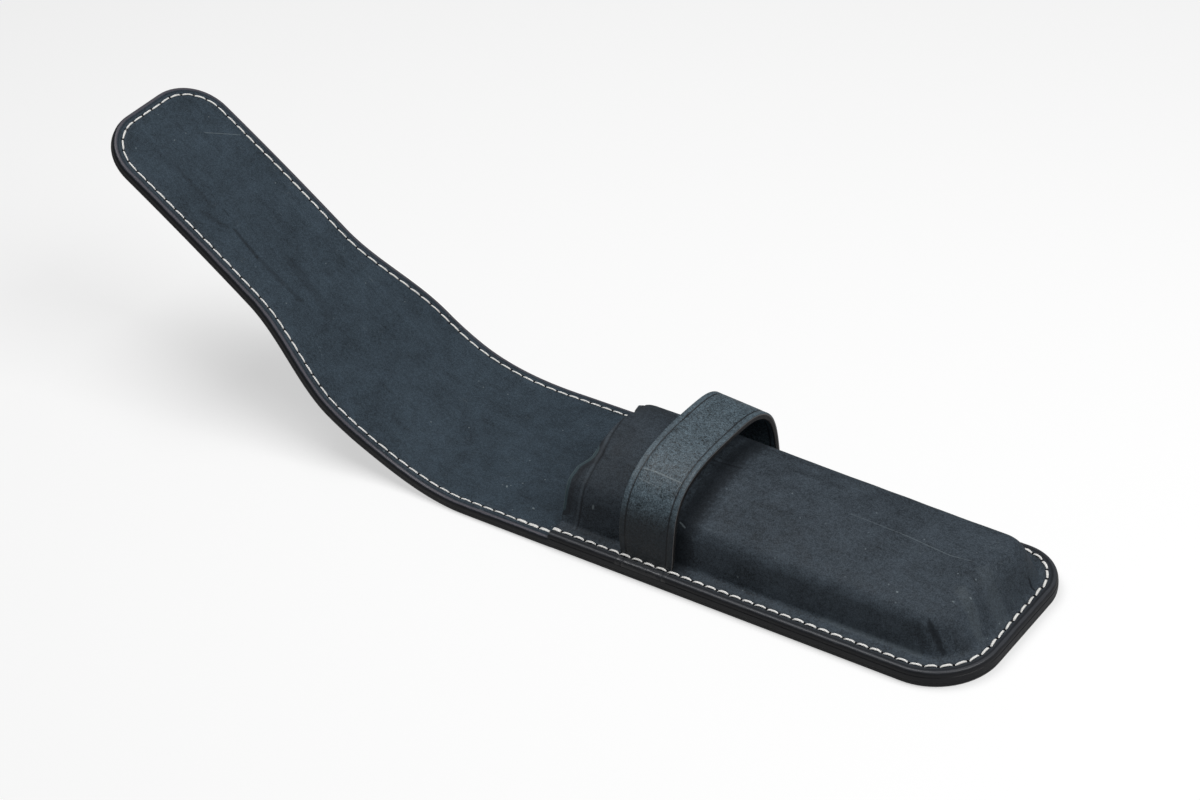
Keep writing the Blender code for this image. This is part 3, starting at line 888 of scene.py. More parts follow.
def wall_side(grid, outline, side, distances, corner):
    """Columns up one long wall of the pocket, one for each distance from the mouth."""
    s = sizes()
    half, mouth = s.case_width / 2, -s.pocket_length / 2
    corner_x = s.pocket_length / 2 - (s.near_radius if side < 0 else s.far_radius)
    columns = []
    for distance in distances:
        along = distance / (corner_x - mouth)
        run, section = side_section(mix(mouth, corner.x, along), side)
        rim = Rim(-distance, side * half, (0.0, side))
        rim.run = outline.run_at(*rim.inset(edges().seam_inset))

        def flat_place(share):
            y = side * (half - FLANGE_WIDTH - run * share)
            return mix(mouth_edge(y), mix(corner_x, corner.x, share), along), y

        line = flange_line(grid, outline, rim, FLANGE_WIDTH, distance)
        columns.append(raise_wall(grid, outline, line, rim, FLANGE_WIDTH, section, flat_place, distance))
    return columns


def heel_line(grid, outline, side, rim, top, heel):
    """Column up the wall round the closed end. heel is 0 at the long sides and 1 at the end."""
    half = sizes().pocket_length / 2
    flange = mix(FLANGE_WIDTH, HEEL_FLANGE_WIDTH, heel)
    run, section = wall_section(shoulder_height(top.x), *wall_shape(side, heel))
    along, across = rim.inset(flange)
    foot = Vector((-half - along, across))
    rim.run = outline.run_at(*rim.inset(edges().seam_inset))

    def flat_place(share):
        place = foot + (top - foot) * share
        return place.x, place.y

    line = flange_line(grid, outline, rim, flange, BEYOND_MOUTH)
    return raise_wall(grid, outline, line, rim, flange, section, flat_place, BEYOND_MOUTH)


def wall_corner(grid, outline, side, corner):
    """Columns round one rounded corner of the closed end."""
    s = sizes()
    radius = s.near_radius if side < 0 else s.far_radius
    top_radius = NEAR_TOP_RADIUS if side < 0 else FAR_TOP_RADIUS
    columns = []
    for step, rim in enumerate(corner_rims(side, -1, radius, 0.0, math.pi / 2, POCKET_CORNER_STEPS)):
        out = Vector((-rim.out[0], rim.out[1]))
        top = corner + out * top_radius
        columns.append(heel_line(grid, outline, side, rim, top, smooth_step(step / POCKET_CORNER_STEPS)))
    return columns


def wall_end(grid, outline, near_corner, far_corner):
    """Columns across the straight of the closed end, between its corners."""
    s = sizes()
    half = s.case_width / 2
    columns = []
    for column in range(1, POCKET_TOP_COLUMNS):
        share = column / POCKET_TOP_COLUMNS
        rim = Rim(-s.pocket_length, mix(s.near_radius - half, half - s.far_radius, share), (-1.0, 0.0))
        top = near_corner.lerp(far_corner, share) + Vector((mix(NEAR_TOP_RADIUS, FAR_TOP_RADIUS, share), 0.0))
        columns.append(heel_line(grid, outline, 1, rim, top, 1.0))
    return columns


def top_grid(grid, near, far, distances):
    """Rows across the crowned top, from the mouth to where the heel turns down."""
    rows = []
    mouth = -sizes().pocket_length / 2
    for left, right, distance in zip(near, far, distances):
        start, end = grid.vertices[left[-1]], grid.vertices[right[-1]]
        near_y, far_y = start.y + NEAR_TOP_RADIUS, end.y - FAR_TOP_RADIUS
        share = smooth_step((mouth + MOUTH_FADE - start.x) / MOUTH_FADE)
        row = [left[-1]]
        for column in range(POCKET_TOP_COLUMNS + 1):
            y = mix(near_y, far_y, column / POCKET_TOP_COLUMNS)
            x = mix(start.x, end.x, (y - start.y) / (end.y - start.y)) + (mouth_edge(y) - mouth) * share
            place = pocket_point(x, y, 1.0)
            row.append(pocket_vertex(grid, place, (mouth - x, y), (0.0, DEEP_INSET / MILLIMETRE), distance))
        row.append(right[-1])
        rows.append(row)
    return rows


def wall_distances(radius):
    """Distances from the mouth at which a long wall has columns, close together at the mouth."""
    length = sizes().pocket_length - radius
    distances = [row * MILLIMETRE for row in MOUTH_ROWS]
    start = distances[-1]
    return distances + [mix(start, length, step / POCKET_ROWS) for step in range(1, POCKET_ROWS)]


def build_pocket(outline, materials):
    """Wet-moulded pocket front with its sewn flange, walls, crowned top and open mouth."""
    s = sizes()
    grid = Grid(maps=("Leather", "Seam", "Mouth"))
    half, end = s.case_width / 2, s.pocket_length / 2
    heel_run = wall_section(shoulder_height(end), *HEEL_WALL)[0]
    top_end = end - HEEL_FLANGE_WIDTH - heel_run
    corners = []
    for side, top_radius, reach in ((-1, NEAR_TOP_RADIUS, 0.0), (1, FAR_TOP_RADIUS, FAR_TOP_REACH)):
        side_run = side_section(top_end, side)[0]
        corner_y = half - FLANGE_WIDTH - side_run - top_radius
        corners.append(Vector((top_end + reach - top_radius, side * corner_y)))
    near_distances, far_distances = wall_distances(s.near_radius), wall_distances(s.far_radius)
    near = wall_side(grid, outline, -1, near_distances, corners[0])
    far = wall_side(grid, outline, 1, far_distances, corners[1])
    rounds = [wall_corner(grid, outline, side, corner) for side, corner in zip((-1, 1), corners)]
    heel = wall_end(grid, outline, *corners)
    grid.skin(near + rounds[0] + heel + rounds[1][::-1] + far[::-1])
    rows = top_grid(grid, near + rounds[0][:1], far + rounds[1][:1], near_distances + [BEYOND_MOUTH])
    grid.skin(rows)
    last = rows[-1][1:-1]
    grid.join(last, [rounds[0][-1][-1]] + [line[-1] for line in heel] + [rounds[1][-1][-1]])
    for hub, turned in ((last[0], rounds[0]), (last[-1], rounds[1])):
        for first, second in zip(turned, turned[1:]):
            grid.face([hub, first[-1], second[-1]])
    item = finish_mesh("pocket_shell", grid, materials, 1)
    thicken(item, s.pocket_layer)
    return item


def thicken(item, thickness):
    """Give a moulded shell its leather's thickness inward, a little thinner above the flange."""
    group = item.vertex_groups.new(name="leather")
    for vertex in item.data.vertices:
        share = rise_share(vertex.co.z, THINNING_FADE)
        group.add([vertex.index], mix(1.0, SHELL_THICKNESS / thickness, share), "REPLACE")
    shell = item.modifiers.new("thickness", "SOLIDIFY")
    shell.thickness = thickness - THICKENING_SLACK
    shell.offset = -1.0
    shell.vertex_group = group.name
    shell.material_offset_rim = 1
    settle(item)
    item.data.set_sharp_from_angle(angle=RIM_ANGLE)


def settle(item):
    """Turn an object's modifiers into plain mesh."""
    depsgraph = bpy.context.evaluated_depsgraph_get()
    mesh = bpy.data.meshes.new_from_object(item.evaluated_get(depsgraph))
    item.modifiers.clear()
    item.data = mesh


STRAP_STEPS = 44
STRAP_ROUNDING = 0.00036
STRAP_LINES = (0.0019, 0.0152)
STRAP_LINE_DEPTH, STRAP_LINE_HALF_WIDTH = 0.00022, 0.00026
STRAP_LINE_OFFSETS = (-0.0004, -0.00022, 0.0, 0.00022, 0.0004)
STRAP_PROUD = 0.00006
STRAP_EDGE_STEPS, STRAP_ROUND_STEPS, STRAP_MIDDLE_STEPS = 6, 5, 12
# Share of the strap's thickness left where it is sewn, and where above the flange the rest of it sets in
SEWN_SHARE, SEWN_RISE_START, SEWN_RISE_FADE = 0.30, 0.0002, 0.0012
# Height and scale of the strap's slight waves, and the depth down to which a point counts as on its face
STRAP_WAVES, FACE_DEPTH = (0.00012, 90.0), 0.0001


def strap_crest(x):
    """Height of the strap's crest above the flange."""
    tongue = 2 * LEATHER_THICKNESS + SEAT_GAP
    return crown_height(x) + tongue + TONGUE_CLEARANCE + STRAP_THICKNESS


def strap_curve(share):
    """Outer face of the strap across the case at a share of its width, as (across, height) pairs."""
    s = sizes()
    half = s.case_width / 2
    x = -s.pocket_length / 2 + STRAP_FROM_MOUTH + STRAP_WIDTH * share
    crest = strap_crest(x)
    crest_y = mix(*STRAP_CREST_Y, share)
    foot_y = half - FLANGE_WIDTH + SEAT_GAP + STRAP_THICKNESS
    low = flange_top() + STRAP_BEND_RADIUS
    stack = 2 * s.layer + s.pocket_layer
    line = []
    for side, squareness in zip((-1, 1), STRAP_SQUARENESS):
        power = 2.0 / squareness
        reach = foot_y - side * crest_y
        rounded = edge_points(stack, 2 * s.layer, stack, STRAP_EDGE_STEPS)
        points = [(half - inset + STRAP_PROUD, level + STRAP_PROUD) for inset, level in rounded]
        points.append((mix(points[-1][0], foot_y + STRAP_BEND_RADIUS, 0.5), flange_top() + STRAP_PROUD))
        for step in range(STRAP_EDGE_STEPS + 1):
            turn = math.pi / 2 * step / STRAP_EDGE_STEPS
            y = foot_y + STRAP_BEND_RADIUS * (1.0 - math.sin(turn))
            points.append((y, low - STRAP_BEND_RADIUS * math.cos(turn) + STRAP_PROUD * math.cos(turn)))
        points = [(side * y, z) for y, z in points]
        for step in range(1, STRAP_STEPS):
            turn = math.pi / 2 * step / STRAP_STEPS
            rise = math.sin(turn) ** power
            y = crest_y + side * reach * math.cos(turn) ** power
            if side < 0:
                y += STRAP_TUCK * share * math.sin(math.pi * rise)
            points.append((y, low + (crest - STRAP_BEND_RADIUS) * rise))
        line.append(points)
    return x, line[0] + [(crest_y, flange_top() + crest)] + line[1][::-1]


def strap_ring():
    """Section of the strap once round, as (place across it, depth, part).

    Part 0 is the face, 1 the cut edge and 2 the underside.
    """
    radius = STRAP_ROUNDING
    width, thick = STRAP_WIDTH, STRAP_THICKNESS
    ring = []
    corners = [(radius, radius, math.pi, 0), (width - radius, radius, math.pi / 2, 0),
               (width - radius, thick - radius, 0.0, 1), (radius, thick - radius, -math.pi / 2, 1)]
    for number, (u, v, start, part) in enumerate(corners):
        for step in range(STRAP_ROUND_STEPS + 1):
            turn = start - math.pi / 2 * step / STRAP_ROUND_STEPS
            ring.append((u + radius * math.cos(turn), v - radius * math.sin(turn), part))
        if number == 0:
            first, second = [[line + offset for offset in STRAP_LINE_OFFSETS] for line in STRAP_LINES]
            shares = [step / STRAP_MIDDLE_STEPS for step in range(1, STRAP_MIDDLE_STEPS)]
            between = [mix(first[-1], second[0], share) for share in shares]
            ring += [(place, 0.0, 0) for place in first + between + second]
        if number == 2:
            steps = STRAP_ROUND_STEPS
            ring += [(width * (1.0 - step / steps), thick, 2) for step in range(1, steps)]
    return ring


def strap_runs(outline):
    """Seam runs at the strap's front edge, and their change over its width, on the near and far sides."""
    inset = sizes().case_width / 2 - edges().seam_inset
    front, rear = -STRAP_FROM_MOUTH, -STRAP_FROM_MOUTH - STRAP_WIDTH
    runs = {}
    for side in (-1, 1):
        start = outline.run_at(front, side * inset)
        runs[side] = (start, outline.run_at(rear, side * inset) - start)
    return runs


def build_strap(outline, materials):
    """Keeper strap as a thick band with pressed lines along both edges."""
    grid = Grid(maps=("Leather", "Strap", "Seam"))
    runs = strap_runs(outline)
    half = sizes().case_width / 2
    lines = []
    for u, v, part in strap_ring():
        share = u / STRAP_WIDTH
        x, curve = strap_curve(share)
        pressed = 0.0
        if v < FACE_DEPTH:
            pressed = STRAP_LINE_DEPTH * sum(bump(u - line, STRAP_LINE_HALF_WIDTH) for line in STRAP_LINES)
        line, run = [], 0.0
        for index, (y, z) in enumerate(curve):
            before = curve[max(index - 1, 0)]
            after = curve[min(index + 1, len(curve) - 1)]
            tangent = Vector((0.0, after[0] - before[0], after[1] - before[1])).normalized()
            normal = Vector((0.0, -tangent.z, tangent.y))
            if index:
                run += math.hypot(y - before[0], z - before[1])
            above = rise_share(z, SEWN_RISE_FADE, SEWN_RISE_START)
            place = Vector((x, y, z)) - normal * (v * mix(SEWN_SHARE, 1.0, above) + pressed)
            depth = STRAP_WAVES[0] * noise.noise(Vector((u, run, v)) * STRAP_WAVES[1]) * above
            start, change = runs[1 if y > 0 else -1]
            inset = half - abs(y) + max(z - flange_top(), 0.0)
            seam = seam_pair(outline, start + change * share, inset, True)
            band = (u / MILLIMETRE, v / MILLIMETRE)
            line.append(grid.add(place, flat_pair(u, run), band, seam, depth=depth))
        lines.append(line)
    parts = [part for u, v, part in strap_ring()]
    for index, (first, second) in enumerate(zip(lines, lines[1:] + lines[:1])):
        pair = (parts[index], parts[(index + 1) % len(parts)])
        cut = 1 in pair and 2 not in pair
        grid.join(first, second, slot=1 if cut else 0)
    return finish_mesh("strap_band", grid, materials, 1)


STITCH_RINGS, STITCH_SIDES = 11, 8
# Stretch of the near side at the mouth where the seam is sewn twice, and how far each thread is shifted
DOUBLED_STITCHES, DOUBLED_SHIFT = (-0.0012, 0.0130), 0.00022
STRAP_STITCH_RISE, STRAP_STITCH_SHIFT, STRAP_STITCH_REACH = 0.00030, 0.00030, 0.0006
STITCH_SINK = 0.00012
# Where the stitches change from those of the pocket to those of the flap, and over what length
FLAP_STITCH_START, FLAP_STITCH_FADE = -0.0060, 0.0080
# Height of a stitch and the range of its slant in degrees, on the pocket and on the flap
STITCH_LIFTS, CASE_SLANT, FLAP_SLANT = (0.00034, 0.00014), (3.0, 7.0), (-0.5, 2.0)
WIDTH_SPREAD, LIFT_SPREAD, STITCH_DRIFT = (0.93, 1.07), (0.85, 1.15), (-0.00006, 0.00006)
# Shares of the pitch before a stitch and along it, and of its width at the holes and through the thread
STITCH_START, STITCH_LENGTH, HOLE_WIDTH, THREAD_DEPTH = 0.04, 0.92, 0.42, 0.66
# Powers of the rise and the width between the holes, share of the lift at the holes, and the share underneath
RISE_POWER, WIDTH_POWER, HOLE_DIP, UNDER_SHARE = 3.2, 0.7, -0.9, 0.5
THREAD_MAP_LENGTH = 3.4


def stitch_surface(along, under, strapped):
    """Height at which a stitch lies, sunk a little into the leather or raised by the strap's foot."""
    s = sizes()
    if under:
        return -2 * s.layer + UNDER_GROOVE
    if along > 0.0:
        return -STITCH_SINK
    return s.pocket_layer - STITCH_SINK + (STRAP_STITCH_RISE if strapped else 0.0)


def is_strapped(along):
    """Whether a place along the strip lies under the strap's sewn ends."""
    start, end = STRAP_FROM_MOUTH, STRAP_FROM_MOUTH + STRAP_WIDTH
    return start - STRAP_STITCH_REACH < -along < end + STRAP_STITCH_REACH


def add_stitch(grid, outline, number, under, chance, shift):
    """One stitch between two holes, dipping into them: flat and straight on the flap, arched elsewhere."""
    e = edges()
    middle = outline.rim_at((number + 0.5) * outline.pitch).along
    flap = smooth_step((middle - FLAP_STITCH_START) / FLAP_STITCH_FADE)
    half_width = mix(e.thread_width, e.flap_thread_width, flap) / 2 * mix(*WIDTH_SPREAD, chance.random())
    lift = mix(*STITCH_LIFTS, flap) * mix(*LIFT_SPREAD, chance.random())
    turned = mix(mix(*CASE_SLANT, chance.random()), mix(*FLAP_SLANT, chance.random()), flap)
    slant = math.radians(turned) * (1 if under else -1)
    drift = mix(*STITCH_DRIFT, chance.random()) + shift
    first, length = (number + STITCH_START) * outline.pitch, outline.pitch * STITCH_LENGTH
    rings = []
    for ring in range(STITCH_RINGS):
        share = ring / (STITCH_RINGS - 1)
        rim = outline.rim_at(first + length * share)
        strapped = not under and is_strapped(rim.along)
        offset = (share - 0.5) * length * math.tan(slant) + drift
        along, across = rim.inset(e.seam_inset + offset - (STRAP_STITCH_SHIFT if strapped else 0.0))
        swell = 1.0 - abs(2.0 * share - 1.0) ** RISE_POWER
        rise = lift * mix(HOLE_DIP, 1.0, swell) * (-UNDER_SHARE if under else 1.0)
        width = half_width * mix(HOLE_WIDTH, 1.0, swell ** WIDTH_POWER)
        deep = width * THREAD_DEPTH
        centre = strip_place(along, across, stitch_surface(along, under, strapped) + rise)
        side = Vector((-rim.out[0], -rim.out[1]))
        slope = profile(along)[2]
        away = Vector((side[0] * -math.cos(slope), side[1], side[0] * math.sin(slope)))
        up = Vector((math.sin(slope), 0.0, math.cos(slope)))
        row = []
        for corner in range(STITCH_SIDES):
            turn = 2 * math.pi * corner / STITCH_SIDES
            place = centre + away * (width * math.cos(turn)) + up * (deep * math.sin(turn))
            row.append(grid.add(place, (share * THREAD_MAP_LENGTH, corner / STITCH_SIDES)))
        rings.append(row)
    grid.skin([ring + ring[:1] for ring in rings])
    grid.face(rings[0][::-1])
    grid.face(rings[-1])


def stretch_of(along):
    """Number of the stretch of the strip that a place belongs to: the case, a bend or the flap."""
    return sum(along > cut for cut in SKIN_CUTS)


def build_thread(outline):
    """Saddle stitching on both faces, one piece for the case, each bend and the flap."""
    chance = random.Random(looks().noise_seed)
    grids = [Grid(maps=("Thread",)) for index in range(FOLD_COUNT + 2)]
    for number in range(outline.stitches):
        rim = outline.rim_at((number + 0.5) * outline.pitch)
        grid = grids[stretch_of(rim.along)]
        doubled = rim.across < 0 and DOUBLED_STITCHES[0] < rim.along < DOUBLED_STITCHES[1]
        for under in (False, True):
            add_stitch(grid, outline, number, under, chance, -DOUBLED_SHIFT if doubled else 0.0)
        if doubled:
            add_stitch(grid, outline, number, False, chance, DOUBLED_SHIFT)
    for index, (grid, name) in enumerate(zip(grids, ["case"] + BENDS + ["flap"])):
        carry(finish_mesh(f"thread_{name}", grid, ["thread"], 0), index)


class Tree:
    """Short way to add and join the nodes of a material or a node group."""

    def __init__(self, tree):
        self.tree = tree

    def feed(self, node, inputs):
        """Set or link a node's inputs."""
        for key, value in inputs.items():
            if isinstance(value, bpy.types.NodeSocket):
                self.tree.links.new(value, node.inputs[key])
            else:
                node.inputs[key].default_value = value

    def add(self, kind, inputs=None, **settings):
        """Add a node with its settings and inputs."""
        node = self.tree.nodes.new(kind)
        for name, value in settings.items():
            setattr(node, name, value)
        self.feed(node, inputs or {})
        return node

    def group(self, group, inputs):
        """Outputs of a node group."""
        return self.add("ShaderNodeGroup", inputs, node_tree=group).outputs

    def math(self, operation, *values):
        """Result of a Math node."""
        return self.add("ShaderNodeMath", dict(enumerate(values)), operation=operation).outputs[0]

    def total(self, first, *others):
        """Sum of some values."""
        for value in others:
            first = self.math("ADD", first, value)
        return first

    def gap(self, first, second):
        """How far apart two values are."""
        return self.math("ABSOLUTE", self.math("SUBTRACT", first, second))

    def ramp(self, value, low, high, start=0.0, end=1.0):
        """Value eased from start to end as it goes from low to high."""
        limits = {"Value": value, "From Min": low, "From Max": high, "To Min": start, "To Max": end}
        return self.add("ShaderNodeMapRange", limits, interpolation_type="SMOOTHSTEP").outputs[0]

    def noise(self, vector, scale, detail=4.0, roughness=0.55, distortion=0.0):
        """Value of a Noise node."""
        pattern = {"Vector": vector, "Scale": scale, "Detail": detail, "Roughness": roughness,
                   "Distortion": distortion}
        return self.add("ShaderNodeTexNoise", pattern).outputs["Fac"]

    def vector(self, operation, first, second=None, scale=None):
        """Result of a Vector Math node: a value where the operation gives one, else a vector."""
        inputs = {0: first, 1: second, "Scale": scale}
        given = {key: value for key, value in inputs.items() if value is not None}
        node = self.add("ShaderNodeVectorMath", given, operation=operation)
        return node.outputs["Value" if operation in ("DOT_PRODUCT", "DISTANCE") else "Vector"]

    def blend(self, share, first, second):
        """Colour mixed from two by a share."""
        return self.add("ShaderNodeMix", {0: share, 6: first, 7: second}, data_type="RGBA").outputs[2]

    def tint(self, color, tone, mask, share):
        """Colour mixed towards a tone by a share of a mask."""
        return self.blend(self.math("MULTIPLY", mask, share), color, tone)

    def uv(self, name):
        """Coordinates of one of the mesh's maps."""
        return self.add("ShaderNodeUVMap", uv_map=name).outputs[0]

    def parts(self, vector):
        """The three parts of a vector."""
        return self.add("ShaderNodeSeparateXYZ", {0: vector}).outputs


def shader_group(name, inputs, outputs, build):
    """Shader group with its sockets, built the first time that it is asked for."""
    group = bpy.data.node_groups.get(name)
    if group:
        return group
    group = bpy.data.node_groups.new(name, "ShaderNodeTree")
    for kind, sockets in (("INPUT", inputs), ("OUTPUT", outputs)):
        for socket, socket_type in sockets.items():
            group.interface.new_socket(name=socket, in_out=kind, socket_type="NodeSocket" + socket_type)
    tree = Tree(group)
    given = tree.add("NodeGroupInput").outputs
    tree.feed(tree.add("NodeGroupOutput"), build(tree, given))
    return group


def build_mark(tree, given):
    """One mark of wear, of a pressed line, of painted shade or of painted light: a soft mask along a line
    between two places.
    """
    place, start = given["Place"], given["Start"]
    step = tree.vector("SUBTRACT", given["End"], start)
    past = tree.vector("SUBTRACT", place, start)
    length = tree.vector("DOT_PRODUCT", step, step)
    share = tree.math("DIVIDE", tree.vector("DOT_PRODUCT", past, step), length)
    share = tree.math("MINIMUM", tree.math("MAXIMUM", share, 0.0), 1.0)
    on_line = tree.vector("ADD", start, tree.vector("SCALE", step, scale=share))
    gap = tree.vector("DISTANCE", place, on_line)
    ragged = tree.math("MULTIPLY", tree.noise(place, 90.0, 3.0), 1.8)
    inside = tree.math("DIVIDE", gap, tree.math("MULTIPLY", given["Half width"], ragged))
    return {"Mask": tree.ramp(inside, 0.3, 1.0, 1.0, 0.0)}


def build_leather(tree, given):
    """Waxed leather: its mottled colour, its roughness and the height of its grain."""
    place = given["Place"]
    cloud = tree.noise(place, 5.0, 3.0, 0.6)
    mottle = tree.noise(place, 24.0, 5.0, 0.62)
    fine = tree.noise(place, 110.0, 3.0, 0.6)
    grit = tree.noise(place, 300.0, 2.0, 0.6)
    streak = tree.noise(tree.vector("MULTIPLY", place, (5.0, 42.0, 20.0)), 1.0, 4.0, 0.6)
    speckle = tree.total(tree.ramp(fine, 0.34, 0.66, -0.16, 0.16), tree.ramp(grit, 0.36, 0.64, -0.30, 0.30))
    shade = tree.total(
        tree.ramp(cloud, 0.3, 0.7, -0.13, 0.15), tree.ramp(mottle, 0.34, 0.66, -0.12, 0.12),
        tree.math("MULTIPLY", speckle, given["Speckle"]), tree.ramp(streak, 0.50, 0.70, 0.0, -0.15), 1.0)
    toned = tree.vector("SCALE", given["Base"], scale=shade)
    contour = tree.noise(tree.vector("MULTIPLY", place, (7.0, 30.0, 16.0)), 1.0, 2.0, 0.5, 1.2)
    scratch = tree.ramp(tree.gap(contour, 0.5), 0.002, 0.006, 1.0, 0.0)
    scratch = tree.math("MULTIPLY", scratch, tree.ramp(tree.noise(place, 9.0, 2.0), 0.55, 0.72))
    cell = tree.add("ShaderNodeTexVoronoi", {"Vector": place, "Scale": 42.0}, feature="F1").outputs
    chance = tree.add("ShaderNodeSeparateColor", {0: cell["Color"]}).outputs[0]
    dot = tree.ramp(cell["Distance"], 0.06, 0.13, 1.0, 0.0)
    dot = tree.math("MULTIPLY", dot, tree.ramp(chance, 0.86, 0.92))
    pale = tree.math("MAXIMUM", tree.math("MULTIPLY", scratch, 0.30), tree.math("MULTIPLY", dot, 0.55))
    grain = tree.add("ShaderNodeTexVoronoi", {"Vector": place, "Scale": 95.0}, feature="SMOOTH_F1").outputs
    height = tree.total(
        tree.math("MULTIPLY", grain["Distance"], 0.35),
        tree.math("MULTIPLY", tree.noise(place, 320.0, 2.0), 0.30), tree.math("MULTIPLY", mottle, 0.55))
    height = tree.math("SUBTRACT", height, tree.math("MULTIPLY", scratch, 0.18))
    rough = tree.total(tree.ramp(mottle, 0.3, 0.7, -0.07, 0.09), LEATHER_ROUGHNESS)
    return {"Color": tree.blend(pale, toned, PALE_TONE), "Roughness": rough, "Height": height}


def build_margin(tree, given):
    """The sewn margin: masks of the burnished edge and of its rounded rim, which gets a painted highlight,
    the holes and the pressed line.
    """
    parts = tree.parts(given["Seam"])
    run, inset = parts[0], parts[1]
    uneven = tree.math("SUBTRACT", tree.noise(given["Seam"], 0.8, 3.0), 0.5)
    ragged = tree.total(inset, tree.math("MULTIPLY", uneven, 0.5))
    # Band over the rounded top of the burnished edge: it carries a painted highlight and a waxed gloss
    rim = tree.math("MULTIPLY", tree.ramp(ragged, 0.0, 0.30), tree.ramp(ragged, 0.75, 1.10, 1.0, 0.0))
    off = tree.math("SUBTRACT", tree.math("FRACT", tree.total(run, 0.5)), 0.5)
    off = tree.math("MULTIPLY", off, given["Pitch"])
    across = tree.math("SUBTRACT", inset, given["Seam inset"])
    gap = tree.math("SQRT", tree.total(tree.math("POWER", off, 2.0), tree.math("POWER", across, 2.0)))
    return {
        "Edge": tree.ramp(ragged, -0.05, 0.25, 1.0, 0.0),
        "Rim": rim,
        "Hole": tree.ramp(gap, 0.30, 0.62, 1.0, 0.0),
        "Line": tree.ramp(tree.gap(inset, given["Line inset"]), 0.08, 0.26, 1.0, 0.0),
        "Margin": tree.ramp(inset, 1.7, 2.5, 1.0, 0.0),
    }


def mark_group():
    """Group for the worn and pressed marks and for the painted light and shade."""
    return shader_group(
        "Line mark", {"Place": "Vector", "Start": "Vector", "End": "Vector", "Half width": "Float"},
        {"Mask": "Float"}, build_mark)


def leather_group():
    """Group for the waxed leather."""
    return shader_group("Waxed leather", {"Place": "Vector", "Base": "Color", "Speckle": "Float"},
                        {"Color": "Color", "Roughness": "Float", "Height": "Float"}, build_leather)


def margin_group():
    """Group for the sewn margin."""
    return shader_group(
        "Sewn margin", {"Seam": "Vector", "Pitch": "Float", "Seam inset": "Float", "Line inset": "Float"},
        {name: "Float" for name in ("Edge", "Rim", "Hole", "Line", "Margin")}, build_margin)


def tinted(colour, share=1.0):
    """Colour with its alpha, made darker or lighter by a share."""
    return (colour[0] * share, colour[1] * share, colour[2] * share, 1.0)


def new_material(name):
    """Empty material and the tree to build in."""
    material = bpy.data.materials.new(name)
    material.use_nodes = True
    material.node_tree.nodes.clear()
    return material, Tree(material.node_tree)


def finish_material(tree, height, depth, inputs):
    """Shader with the given inputs, and a relief of the given height pattern and depth."""
    relief = tree.add("ShaderNodeBump", {"Height": height, "Distance": depth, "Strength": 1.0})
    shader = tree.add("ShaderNodeBsdfPrincipled", {"Normal": relief.outputs[0], **inputs})
    tree.add("ShaderNodeOutputMaterial", {"Surface": shader.outputs[0]})


def leather_place(tree, flat):
    """Pattern coordinates: the flat leather for pieces that bend, else the object's own space."""
    if flat:
        return tree.uv("Leather")
    place = tree.add("ShaderNodeTexCoord").outputs["Object"]
    return tree.vector("MULTIPLY", place, (FLAT_SCALE, FLAT_SCALE, FLAT_SCALE))


LEATHER_ROUGHNESS, EDGE_ROUGHNESS, THREAD_ROUGHNESS = 0.64, 0.55, 0.62
COAT_WEIGHT, COAT_ROUGHNESS = 0.35, 0.34
FIBRE_DEPTH, TWIST_DEPTH = 0.00012, 0.00006
PALE_TONE = (0.20, 0.24, 0.26, 1.0)
DARK_TONE = (0.010, 0.012, 0.015, 1.0)
# Painted shade inside the stitch holes
HOLE_TONE = (0.003, 0.003, 0.004, 1.0)
# Painted shade low on the strap's near side
STRAP_SHADE_TONE = (0.008, 0.010, 0.013, 1.0)
BAND_TONE = (0.050, 0.086, 0.096, 1.0)
# Painted highlight on the mouth's rounded rim
MOUTH_RIM_HIGHLIGHT_TONE = (0.150, 0.190, 0.200, 1.0)
RIDGE_TONE = (0.10, 0.12, 0.14, 1.0)
STRAP_EDGE_HIGHLIGHT_TONE = (0.160, 0.150, 0.150, 1.0)

# Sewn margins: shares of the dark margin, of the pressed line and of the painted highlight on the rim, and
# that highlight's colour
SEWN_MARGINS = {
    "lining": (0.10, 0.40, 0.85, (0.082, 0.075, 0.090)),
    "outer": (0.10, 0.30, 0.50, (0.050, 0.050, 0.056)),
    "pocket": (0.72, 0.60, 0.60, (0.058, 0.060, 0.068)),
    "strap": (0.55, 0.60, 0.50, (0.050, 0.052, 0.060)),
}

# Dark creases and stains as start, end, half width and strength, in millimetres; the pocket's marks are
# painted shade along its puckers and grooves, and the last a painted shadow beside the strap. Places on the
# lining are along and across the flat strip, the others are x, y and z
DARK_MARKS = {
    "lining": [
        ((150.9, -13.0, 0.0), (143.0, -10.2, 0.0), 1.5, 0.32),
        ((141.2, -9.0, 0.0), (130.4, -10.0, 0.0), 0.9, 0.55),
        ((130.4, -10.0, 0.0), (112.5, -9.3, 0.0), 1.3, 0.32),
        ((166.6, -7.9, 0.0), (150.0, -9.0, 0.0), 1.2, 0.26),
        ((124.0, -2.0, 0.0), (104.0, -5.0, 0.0), 2.4, 0.22),
    ],
    "pocket": [
        # Painted shade along the pocket's puckers and pressed grooves
        ((51.0, -20.9, 13.9), (55.5, -21.5, 6.5), 0.95, 0.62),
        ((48.2, -22.0, 12.4), (50.4, -23.4, 6.6), 1.10, 0.25),
        ((57.0, -18.0, 9.6), (60.2, -16.2, 6.0), 1.30, 0.22),
        ((60.5, 13.6, 7.0), (62.5, 14.0, 5.2), 0.60, 0.80),
        ((-31.4, 2.1, 22.2), (-22.5, 3.2, 21.7), 0.50, 0.55),
        # Painted shadow of the strap on the pocket beside its closed-end edge
        ((-26.0, -24.5, 9.0), (-26.0, 17.0, 21.0), 6.5, 0.60),
    ],
}
